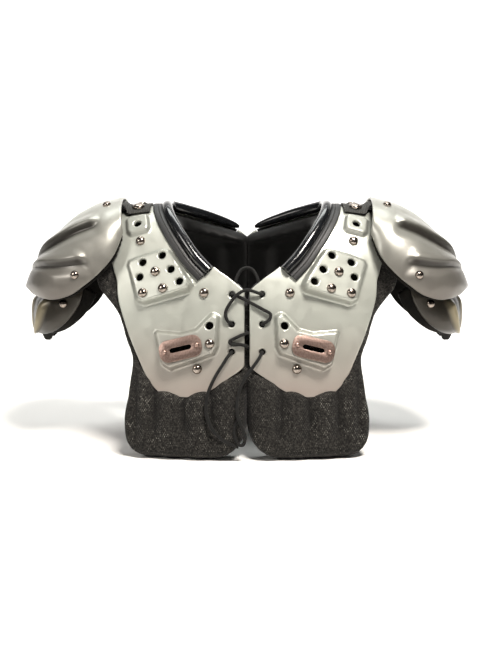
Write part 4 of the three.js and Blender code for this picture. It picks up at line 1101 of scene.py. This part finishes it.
# Belt plates, with a slot and two small rivet heads
def belt_plate():
    half = BELT_PLATE_THICKNESS / 2
    obj = boxed("belt_plate", (BELT_PLATE_LENGTH, BELT_PLATE_WIDTH, BELT_PLATE_THICKNESS), Matrix())
    edged(
        obj, lambda a, b: abs(a.z - b.z) > half * MM, bpy.ops.mesh.bevel,
        affect="EDGES", offset=BELT_PLATE_CORNER * MM, segments=10,
    )
    slot_end = (BELT_SLOT_LENGTH - BELT_SLOT_WIDTH) / 2
    radius = BELT_SLOT_WIDTH / 2
    slot = boxed("cutter", (2 * slot_end, BELT_SLOT_WIDTH, CUTTER_DEPTH / 2), Matrix())
    for side in (-1, 1):
        end = added(
            "cutter", bpy.ops.mesh.primitive_cylinder_add,
            vertices=24, radius=radius * MM, depth=CUTTER_DEPTH / 2 * MM,
        )
        end.data.transform(Matrix.Translation((side * slot_end * MM, 0, 0)))
        modified(slot, "BOOLEAN", object=end, operation="UNION", solver="EXACT")
        bpy.data.objects.remove(end)
    cut(obj, [slot])
    modified(obj, "BEVEL", width=0.35 * MM, segments=3, limit_method="ANGLE", angle_limit=math.radians(60))
    obj.data.transform(Matrix.Translation((0, 0, half * MM)))
    heads = []
    for side in (-1, 1):
        head = turned("head", dome_profile(BELT_RIVET_RADIUS, BELT_RIVET_RADIUS * 0.8, 0.4), 20)
        head.data.transform(Matrix.Translation((side * BELT_RIVET_SPREAD * MM, 0, BELT_PLATE_THICKNESS * MM)))
        heads.append(head)
    return smoothed(mapped(joined([obj, *heads]), from_above), 20)


def dome_profile(radius, height, sunk):
    """Profile of a domed head, in metres, its foot sunk below its seat."""
    profile = [(radius, -sunk), (radius, 0.06 * height)]
    for degrees in range(12, 90, 11):
        turn = math.radians(degrees)
        profile.append((radius * math.cos(turn) ** 0.9, height * (0.06 + 0.94 * math.sin(turn))))
    profile.append((radius * 0.02, height))
    return [(r * MM, h * MM) for r, h in profile]


stamped = belt_plate()
for place, boss in BELTS.items():
    piece = copied(stamped, f"belt_plate_{place}", belt_matrix(boss, FIT_GAP / 2))
    paired(piece, f"belt_plate_{place}_stamping", ALUMINIUM, "belt_plate", [f"belt_plate_{place}"])
bpy.data.objects.remove(stamped)


# Neck roll: a piped bead with a stitched flange
def neck_roll():
    line, frames = roll_frames(ROLL_STATIONS)
    foot = WALL + FIT_GAP
    top = WALL + ROLL_GAP + FLANGE_THICKNESS
    bead = [(FIT_GAP + BEAD_RADIUS + a, BEAD_LIFT + b) for a, b in round_section(BEAD_RADIUS, 28)]
    flange = [
        (-FLANGE_WIDTH, foot), (1.5, foot), (1.5, top - 1.2), (0.2, top - 1.2), (-0.4, top - 0.3), (-1, top),
        (-2.6, top), (-3.2, top - 0.35), (-3.8, top), (-FLANGE_WIDTH + 1, top),
        (-FLANGE_WIDTH + 0.3, top - 0.3), (-FLANGE_WIDTH, top - 0.9),
    ]
    to_end = [len(line) - 1 - i for i in range(len(line))]
    sizes = [mix(0.3, 1, math.sqrt(1 - (1 - min(1, k / BEAD_TAPER)) ** 2)) for k in to_end]
    pieces = []
    for name, section, shares in (("bead", bead, sizes), ("flange", flange, None)):
        pieces.append(smoothed(swept(name, line, frames, section, shares), 28))
    return pieces


def stitches(across, height):
    """A row of thread stitches along the roll's flange."""
    line, frames = roll_frames(ROLL_STATIONS)
    points = [p + s * across + o * height for p, (s, o) in zip(line, frames)]
    thread = []
    walked = 0
    due = STITCH_PITCH
    for a, b, (side_way, out) in zip(points, points[1:], frames):
        span = (b - a).length
        while walked + span >= due:
            at = a.lerp(b, (due - walked) / span)
            course = (b - a).normalized()
            half = course * STITCH_LENGTH / 2
            dip = out * THREAD_RADIUS
            path = [at - half - dip, at - half * 0.8, at, at + half * 0.8, at + half - dip]
            thread.append(swept("stitch", path, level_frames(path), round_section(THREAD_RADIUS, 6)))
            due += STITCH_PITCH
        walked += span
    return smoothed(joined(thread), 60)


bead, flange = neck_roll()
paired(bead, "neck_roll_bead", BEAD_VINYL, "vinyl", ["neck_roll"])
paired(flange, "neck_roll_flange", FLANGE_VINYL, "vinyl", [])
seam = stitches(-3.2, WALL + ROLL_GAP + FLANGE_THICKNESS - 0.4)
paired(seam, "neck_roll_stitches", THREAD, "vinyl", [])


# Caps
def cap_value(rows, row, column):
    table = [(i, *values) for i, values in enumerate(rows)]
    return table_value(table, row, column + 1)


def cap_point(rows, row, turn, past=0):
    ridge = Vector((cap_value(rows, row, 0) * ARCH_HALF_WIDTH, 0, cap_value(rows, row, 1) * ARCH_HEIGHT))
    edge = Vector((cap_value(rows, row, 2) * ARCH_HALF_WIDTH, 0, cap_value(rows, row, 3) * ARCH_HEIGHT))
    angle = math.radians(min(90, max(-90, turn)))
    point = edge.lerp(ridge, max(0, math.cos(angle)) ** CAP_ARCHING)
    if past > 0:
        point += (edge - ridge).normalized() * past
    point.y = math.sin(angle) * cap_value(rows, row, 4) * ARCH_FRONT_DEPTH
    return point


def cap_out(rows, row, turn):
    """Direction in which a cap's wall is measured."""
    course = cap_point(rows, min(row + 0.5, len(rows) - 1), 0) - cap_point(rows, max(row - 0.5, 0), 0)
    course.normalize()
    angle = math.radians(turn)
    return Vector((-course.z * math.cos(angle), math.sin(angle), course.x * math.cos(angle)))


def on_cap(rows, row, turn, height, past=0):
    return cap_point(rows, row, turn, past) + cap_out(rows, row, turn) * height


def end_spans(rows):
    """Lengths of a cap's first and last spans along its ridge."""
    return [(cap_point(rows, k + 1, 0) - cap_point(rows, k, 0)).length for k in (0, len(rows) - 2)]


def rim_row(share, count, rows):
    """Row of a cap for the share that counts its lines, which lie closer at both rims."""
    last = len(rows) - 1
    k = round(share * count)
    first_span, last_span = end_spans(rows)
    if k <= RIM_LINES:
        return RIM_STEPS[k] / first_span
    if k >= count - RIM_LINES:
        return last - RIM_STEPS[count - k] / last_span
    within = (k - RIM_LINES) / (count - 2 * RIM_LINES)
    return mix(RIM_STEPS[RIM_LINES] / first_span, last - RIM_STEPS[RIM_LINES] / last_span, within)


def rim_turn(share, count, reach):
    """Turn of a cap for the share that counts its lines, and its distance from the rim."""
    k = round(share * count)
    near = min(k, count - k)
    side = -1 if k * 2 < count else 1
    rim = math.degrees((RIM_RADIUS / reach) ** (1 / CAP_ARCHING))
    if near <= RIM_LINES:
        distance = RIM_STEPS[near]
        return side * (90 - math.degrees((distance / reach) ** (1 / CAP_ARCHING))), distance
    share = (k - RIM_LINES) / (count - 2 * RIM_LINES)
    return mix(-90 + rim, 90 - rim, share), RIM_RADIUS


def creases(row, turn):
    """How strongly each pressed step stands at a place, and how far past its middle the place is."""
    for course in CAP_CREASES:
        first, last = course[0][0], course[-1][0]
        strength = smoothstep(row, first - 0.2, first + 0.3) * (1 - smoothstep(row, last - 1.4, last + 0.2))
        yield strength, abs(turn) - table_value(course, row, 1)


def press_height(row, turn):
    """Height of the pressed steps of a shoulder cap, which fan out towards the arm."""
    height = 0
    for strength, past in creases(row, turn):
        half = CREASE_WIDTH / 2
        fall = 0.5 - smoothstep(past, -half, half)
        near = 1 - smoothstep(abs(past), half, half + CREASE_REACH)
        height += CAP_STEP * strength * fall * near
    return height


def crease_shade(row, turn):
    """How much of a pressed step's painted shade a place holds."""
    steps = creases(row, turn)
    return max(strength * (1 - smoothstep(abs(past - 1), 1, CREASE_WIDTH)) for strength, past in steps)


def rib_height(row, turn):
    """Height of an arm cap's three ribs."""
    last = len(ARM_CAP_ROWS) - 1
    nearest = min(abs(abs(turn) - middle) for middle in ARM_CAP_RIB_TURNS)
    fade = smoothstep(row, 0.8, 2.2) * (1 - smoothstep(row, last - 0.6, last))
    return ARM_CAP_RIB * fade * (1 - smoothstep(nearest, 1, 13))


def rib_shade(row, turn):
    """How much painted shade lies between an arm cap's ribs."""
    return 1 - rib_height(row, turn) / ARM_CAP_RIB


def cap_shell(name, rows, relief, shade):
    """Shell of a cap: relief is the height of its pressed forms, and shade the painted shade that they take.
    """
    def painted_shade(u, v):
        row = rim_row(u, CAP_COLUMNS, rows)
        return shade(row, rim_turn(v, CAP_LINES, PAINTED_SHADE_REACH)[0])

    def skin(face):
        def place(u, v):
            row = rim_row(u, CAP_COLUMNS, rows)
            reach = (cap_point(rows, row, 0) - cap_point(rows, row, 90)).length
            turn, from_edge = rim_turn(v, CAP_LINES, max(reach, CAP_LEAST_REACH))
            first_span, last_span = end_spans(rows)
            drop = rim_drop(min(from_edge, row * first_span, (len(rows) - 1 - row) * last_span))
            height = relief(row, turn) - (drop if face > 0 else CAP_WALL - 0.5 * drop)
            return on_cap(rows, row, turn, height)

        return place

    return smoothed(formed(name, CAP_COLUMNS, CAP_LINES, skin(1), skin(-1), painted_shade), 50)


def cap_pad(name, rows, first_row, top, thickness, margin, drop):
    """Foam under a cap, standing out past its edges and past its tip, with rounded edges."""
    last = len(rows) - 1
    tip_way = (cap_point(rows, last, 0) - cap_point(rows, last - 1, 0)).normalized()

    def skin(face):
        def place(u, v):
            row = max(first_row, u * last)
            side = 2 * v - 1
            turn = 90 * math.copysign(min(1, abs(side) / CAP_PAD_COVERED), side)
            past = margin * (1 - u / 2) * max(0, (abs(side) - CAP_PAD_COVERED) / (1 - CAP_PAD_COVERED))
            height = top(row) - (0 if face > 0 else thickness(row))
            dropped = tip_way * drop * max(0, u - DROP_START) / (1 - DROP_START)
            return on_cap(rows, row, turn, height, past) + dropped

        return place

    obj = formed(name, FOAM_COLUMNS, FOAM_LINES, skin(1), skin(-1))
    modified(obj, "REMESH", mode="VOXEL", voxel_size=FOAM_GRAIN * MM)
    modified(obj, "SMOOTH", factor=0.5, iterations=4)
    return smoothed(obj, 80)


shoulder_shell = cap_shell("cap", CAP_ROWS, press_height, crease_shade)
paired(shoulder_shell, "shoulder_cap_shell", CAP_PAINT, "cap", ["shoulder_cap"])
arm_shell = cap_shell("arm_cap", ARM_CAP_ROWS, rib_height, rib_shade)
paired(arm_shell, "arm_cap_shell", ARM_CAP_PAINT, "arm_cap", ["arm_cap"])

UNDER_STRAP = CAP_WALL + STRAP_SLACK + STRAP_THICKNESS + FIT_GAP
UNDER_STEPS = CAP_WALL + CAP_STEP / 2 + PAD_GAP
CAP_LAST = len(CAP_ROWS) - 1
ARM_CAP_LAST = len(ARM_CAP_ROWS) - 1


def cap_foam_top(row):
    """Face of a shoulder cap's foam: under the strap, under the steps, and low again at the tip."""
    under = mix(UNDER_STRAP, UNDER_STEPS, min(1, row / 2))
    return -mix(under, UNDER_STRAP, smoothstep(row, CAP_LAST - 1, CAP_LAST))


def cap_foam_thickness(row):
    return mix(CAP_PAD_THIN, CAP_PAD_THICKNESS, min(1, row / 3, (CAP_LAST - row) / 3))


def arm_foam_top(row):
    return -CAP_WALL - PAD_GAP


def arm_foam_thickness(row):
    return ARM_CAP_PAD_THICKNESS * mix(0.4, 1, min(1, (ARM_CAP_LAST - row) / 3))


foam_cap = cap_pad("cap_foam", CAP_ROWS, 0.15, cap_foam_top, cap_foam_thickness, CAP_PAD_MARGIN, 0)
foam_arm = cap_pad(
    "arm_foam", ARM_CAP_ROWS, 0, arm_foam_top, arm_foam_thickness, ARM_CAP_PAD_MARGIN, ARM_CAP_PAD_DROP
)
for foam_pad, stem in ((foam_cap, "shoulder_cap"), (foam_arm, "arm_cap")):
    for piece in paired(foam_pad, f"{stem}_foam", FOAM, "foam", [f"{stem}_pad"]):
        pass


# Dome rivets
def seat_of(node):
    """Centre, direction and radius of a rivet, from the flat foot of its CAD node."""
    mesh = node.data
    best = []
    for face in mesh.polygons:
        level = [other for other in mesh.polygons if other.normal.dot(face.normal) > 0.999]
        if sum(f.area for f in level) > sum(f.area for f in best):
            best = level
    area = sum(face.area for face in best)
    centre = sum((face.center * face.area for face in best), Vector()) / area
    corners = {k for face in best for k in face.vertices}
    radius = max((mesh.vertices[k].co - centre).length for k in corners)
    return centre, -best[0].normal, radius


def seated(shell, centre, axis):
    """A rivet's place and direction on the face of a left-hand shell, for a rivet of either side."""
    side = math.copysign(1, centre.x)
    start = Vector((centre.x * side, centre.y, centre.z))
    way = Vector((axis.x * side, axis.y, axis.z))
    hit, place, normal, _ = shell.ray_cast(start + way * (SEAT_REACH * MM), -way)
    if not hit:
        return centre, axis
    normal = (normal + way).normalized()
    return Vector((place.x * side, place.y, place.z)), Vector((normal.x * side, normal.y, normal.z))


RIVET = turned("rivet", dome_profile(RIVET_RADIUS, RIVET_HEIGHT, RIVET_SUNK), 32)
smoothed(RIVET, 50)
CAP_SHELLS = {"rivet_cap_": "shoulder_cap_shell_left", "rivet_arm_cap_": "arm_cap_shell_left"}
for name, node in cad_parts.items():
    if name.startswith("rivet_"):
        centre, axis, radius = seat_of(node)
        for start, shell in CAP_SHELLS.items():
            if name.startswith(start):
                centre, axis = seated(bpy.data.objects[shell], centre, axis)
        wide = (STRAP_RIVET_SHARE if "_strap_" in name else 1) * radius / RIVET_RADIUS / MM
        size = Matrix.Diagonal((wide, wide, radius ** 2 / RIVET_RADIUS ** 2 / wide / MM ** 2, 1))
        piece = copied(RIVET, f"{name}_dome", Matrix.Translation(centre) @ turn_to(axis) @ size)
        dressed(piece, NICKEL, "rivet", name)
bpy.data.objects.remove(RIVET)


# Shoulder strap
def shoulder_strap():
    """Webbing from the neck roll, over the plate and up under the shoulder cap."""
    def on_plate(x, lift):
        return lambda y, height: on_arch(x, station_at(x, y), WALL + FIT_GAP + lift + height)

    def under_cap(row):
        def place(y, height):
            depth = cap_value(CAP_ROWS, row, 4) * ARCH_FRONT_DEPTH
            turn = math.degrees(math.asin(y / depth))
            return on_cap(CAP_ROWS, row, turn, height - CAP_WALL - STRAP_SLACK - STRAP_THICKNESS)

        return place

    widest = max(across for station, across in ROLL_LINE) * ARCH_HALF_WIDTH
    inner_end = widest + FLANGE_WIDTH + STRAP_ROLL_GAP
    sections = [on_plate(inner_end + run, lift) for run, lift in STRAP_RUN]
    sections += [under_cap(row) for row in (0, 0.5, 1)]

    def skin(face):
        def place(u, v):
            y = (v - 0.5) * STRAP_WIDTH
            edge = STRAP_WIDTH / 2 - abs(y)
            drop = 0.7 * max(0, 1 - edge / 1.5) ** 2
            height = STRAP_THICKNESS - drop if face > 0 else drop
            course = smooth_path([section(y, height) for section in sections], STRAP_STEPS)
            return course[round(u * (len(course) - 1))]

        return place

    obj = formed("strap", STRAP_STEPS * (len(sections) - 1), STRAP_LINES, skin(1), skin(-1))
    return mapped(smoothed(obj, 60), from_above)


paired(shoulder_strap(), "shoulder_strap_webbing", WEBBING, "webbing", ["shoulder_strap"])


# Body pads
FOOT_ROWS = PLATE_OUTLINE[:7]
PLATE_FOOT = [(inner * ARCH_HALF_WIDTH, station * HEM_RATE) for station, inner, outer in FOOT_ROWS]
PLATE_FOOT += [(outer * ARCH_HALF_WIDTH, station * HEM_RATE) for station, inner, outer in FOOT_ROWS[::-1]]


def past_plate(x, station):
    """How far a place lies outside the plate's outline, below its chest, in millimetres."""
    s = min(station, 180 - station)
    if s > 40:
        return x - edges_at(PLATE_OUTLINE, station)[1]
    return outline_distance(PLATE_FOOT, x, s * HEM_RATE)


def hem_seam(x):
    """How near a place is to a seam between lobes of the hem: 1 on the seam, 0 in mid-lobe."""
    share = x / ARCH_HALF_WIDTH
    edge = max(1, next((k for k, seam in enumerate(HEM_SEAMS) if seam > share), len(HEM_SEAMS) - 1))
    low, high = HEM_SEAMS[edge - 1], HEM_SEAMS[edge]
    lobe = math.sin(math.pi * min(1, max(0, (share - low) / (high - low))))
    return 1 - abs(lobe) ** 0.6


def pad_top(x, station):
    """Height over the arch of a body pad's outer face."""
    on_front = station < 90
    s = min(station, 180 - station)
    neck_low = ROLL_LINE[0][0] if on_front else ROLL_LINE[-1][0]
    in_neck = NECK_STATIONS[0] < station < NECK_STATIONS[1]
    past_end = station > neck_low if on_front else station < neck_low
    neck = table_value(ROLL_LINE, station, 1) if past_end else table_value(PLATE_OUTLINE, station, 1)
    from_edge = neck * ARCH_HALF_WIDTH - x if in_neck else -NECK_REACH
    under_bead = BEAD_ROOM * min(1, max(0, (from_edge + NECK_REACH) / 10))
    curl = mix(FRONT_CURL, BACK_CURL, smoothstep(station, 80, 105))
    curl *= min(1, max(0, from_edge) / NECK_REACH) ** 1.5
    laced = (1 - smoothstep(station, 48, 55) if on_front else 0) if in_neck else 1
    near_middle = min(1, max(0, (0.2 - x / ARCH_HALF_WIDTH) / 0.07))
    lace_room = laced * LACE_ROOM * near_middle * smoothstep(s, 14, 20)
    height = -PAD_GAP - under_bead - curl - lace_room
    at_hem = 1 - smoothstep(s, 13, 20)
    seam = hem_seam(x)
    past = past_plate(x, station) + at_hem * mix(HEM_LAP, -1.5, seam)
    if past > 0 and not in_neck or past > 0 and x > neck * ARCH_HALF_WIDTH + 20:
        swell = math.sqrt(1 - (1 - min(1, past / mix(11, 7, at_hem))) ** 2)
        puff = mix(HEM_PUFF, SIDE_PUFF, smoothstep(s, 12, 24))
        depth = HEM_SEAM_DEPTH * seam * at_hem * mix(0.25, 1, smoothstep(s, 1, 6))
        height += (puff + PAD_GAP - depth) * swell
    return height


def pad_skin(face):
    def place(u, v):
        station = v * 180
        inner, outer = edges_at(PAD_OUTLINE, station)
        x = mix(inner, outer, u)
        top = pad_top(x, station)
        foot = min(top, -PAD_GAP) - PAD_THICKNESS
        s = min(station, 180 - station)
        meeting_top = MEETING[0] if station < 90 else MEETING[1]
        meeting = smoothstep(s, 3, 6) * (1 - smoothstep(s, meeting_top, meeting_top + 3))
        edge = min((x - inner) * mix(1, 4, meeting), outer - x, s * HEM_RATE)
        short = min(1, max(0, 1 - edge / PAD_EDGE))
        round_off = 1 - math.sqrt(1 - short * short)
        middle = (top + foot) / 2
        height = mix(top if face > 0 else foot, middle, 0.8 * round_off)
        return on_arch(x, station, height)

    return place


def puffed(obj, free, pressure, limit):
    """Swells a padded piece as its foam pushes the cover out. free(point) is how free a point is to
    move, from 0 to 1, and limit caps how far it may."""
    rest = [vertex.co.copy() for vertex in obj.data.vertices]
    group = obj.vertex_groups.new(name="held")
    for vertex in obj.data.vertices:
        group.add([vertex.index], 1 - free(vertex.co), "REPLACE")
    cloth = obj.modifiers.new("Cloth", "CLOTH")
    cloth.settings.use_pressure = True
    cloth.settings.uniform_pressure_force = pressure
    cloth.settings.effector_weights.gravity = 0
    cloth.settings.vertex_group_mass = group.name
    cloth.settings.pin_stiffness = 1
    cloth.settings.quality = 5
    cloth.point_cache.frame_start = 1
    cloth.point_cache.frame_end = PUFF_FRAMES
    for number in range(1, PUFF_FRAMES + 1):
        bpy.context.scene.frame_set(number)
    select_only(obj)
    bpy.ops.object.modifier_apply(modifier=cloth.name)
    obj.vertex_groups.clear()
    bpy.context.scene.frame_set(1)
    for vertex, at in zip(obj.data.vertices, rest):
        move = vertex.co - at
        if move.length > limit:
            vertex.co = at + move.normalized() * limit
    return obj


def hem_freedom(point):
    """The hem swells freely, the padding under the plate is held, and the arm edge gives a little."""
    local = unplaced(point)
    s = station_of(local)
    s = min(s, 180 - s)
    past = past_plate(max(0, local.x), s)
    return 0.9 * smoothstep(past, 6, 14) * (1 - smoothstep(s, 14, 30))


def lined(obj):
    """Marks where the smooth lining shows, with a painted sheen: round the neck, and all of the side next to
    the body. Marks where painted shade blackens it: next to the body, and on its lip behind the neck. Also
    marks how deep the folds between the lobes of the hem are, for their painted shade."""
    layer = obj.data.attributes.new("lining_and_sheen", "FLOAT", "POINT")
    fold_shades = obj.data.attributes.new("fold_shade", "FLOAT", "POINT")
    inside = obj.data.attributes.new("inside", "FLOAT", "POINT")
    for vertex, mark, fold_shade, black_lining_and_shade in zip(obj.data.vertices, layer.data, fold_shades.data, inside.data):
        local = unplaced(vertex.co)
        station = station_of(local)
        x = max(0, local.x)
        height = (local - arch_point(x, station)).dot(arch_frame(x, station)[2])
        from_top = height - pad_top(x, station)
        under = 1 - smoothstep(from_top, -PAD_THICKNESS * 0.75, -PAD_THICKNESS * 0.4)
        neck = smoothstep(roll_line(station) - x, -6, -2)
        mark.value = max(under, neck if NECK_STATIONS[0] < station < NECK_STATIONS[1] else 0)
        # Painted shade: the lining next to the body, and its lip behind the neck, go near black
        black_lining_and_shade.value = under if station < 90 else max(under, mark.value)
        s = min(station, 180 - station)
        # Painted shade in the folds between the hem's lobes
        fold_shade.value = hem_seam(x) ** 1.5 * smoothstep(s, 1.5, 8) * (1 - smoothstep(s, 15, 20))
    return obj


def body_pad():
    obj = formed("body_pad", PAD_COLUMNS, PAD_ROWS, pad_skin(1), pad_skin(-1))
    modified(obj, "REMESH", mode="VOXEL", voxel_size=PAD_GRAIN * MM)
    modified(obj, "SMOOTH", factor=0.5, iterations=3)
    puffed(obj, hem_freedom, PUFF_PRESSURE, PUFF_LIMIT * MM)
    modified(obj, "SUBSURF", levels=1, render_levels=1)
    return lined(smoothed(mapped(obj, unrolled), 80))


for piece in paired(body_pad(), "body_pad_cover", AIR_MESH, "mesh_cloth", ["body_pad"]):
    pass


# Floor, backdrop and lights
BACKDROP_SIZE = (9, 7)
BACKDROP_MIDDLE = -0.5
BACKDROP_HEIGHT = 4
BACKDROP_BEND = 1.2

# Lights, in metres: place, point that each looks at, size, power in watts and colour
LIGHTS = {
    "key_light": ((0.35, -0.75, 1.5), (0, 0, 0.12), (0.45, 0.35), 45, "#fff9f1"),
    "left_light": ((-1.1, -0.8, 0.9), (0, 0, 0.12), (0.5, 0.5), 7, "#fffaf4"),
    "top_light": ((0.0, 0.45, 1.5), (0, 0, 0.15), (1.2, 0.5), 13, "#f8fbf8"),
    "backdrop_light": ((0.0, 1.4, 1.7), (0, 2.8, 0.2), (3.0, 0.6), 75, "#ffffff"),
}
WORLD_COLOUR = "#e9e7e4"
WORLD_STRENGTH = 0.06


def cyclorama():
    obj = added("backdrop", bpy.ops.mesh.primitive_plane_add, size=1)
    width, depth = BACKDROP_SIZE
    back = BACKDROP_MIDDLE + depth / 2
    obj.data.transform(Matrix.Translation((0, BACKDROP_MIDDLE, 0)) @ Matrix.Diagonal((width, depth, 1, 1)))
    edged(
        obj, lambda a, b: min(a.y, b.y) > back - 0.1, bpy.ops.mesh.extrude_region_move,
        TRANSFORM_OT_translate={"value": (0, 0, BACKDROP_HEIGHT)},
    )
    edged(
        obj, lambda a, b: min(a.y, b.y) > back - 0.1 and max(a.z, b.z) < 0.1, bpy.ops.mesh.bevel,
        affect="EDGES", offset=BACKDROP_BEND, segments=16,
    )
    smoothed(obj, 60)
    material, tree, shader = finish_base("matt_white_paper", Roughness=0.9)
    shader.inputs["Base Color"].default_value = linear("#f4f3f1")
    obj.data.materials.append(material)


def softbox(name, place, aim, size, power, colour):
    lamp = bpy.data.lights.new(name, "AREA")
    lamp.shape = "RECTANGLE"
    lamp.size, lamp.size_y = size
    lamp.energy = power
    lamp.color = linear(colour)[:3]
    obj = bpy.data.objects.new(name, lamp)
    obj.location = place
    obj.rotation_euler = (Vector(aim) - Vector(place)).to_track_quat("-Z", "Y").to_euler()
    bpy.context.scene.collection.objects.link(obj)


cyclorama()
for name, settings in LIGHTS.items():
    softbox(name, *settings)
world = bpy.data.worlds.new("studio")
world.use_nodes = True
world.node_tree.nodes["Background"].inputs["Color"].default_value = linear(WORLD_COLOUR)
world.node_tree.nodes["Background"].inputs["Strength"].default_value = WORLD_STRENGTH
bpy.context.scene.world = world
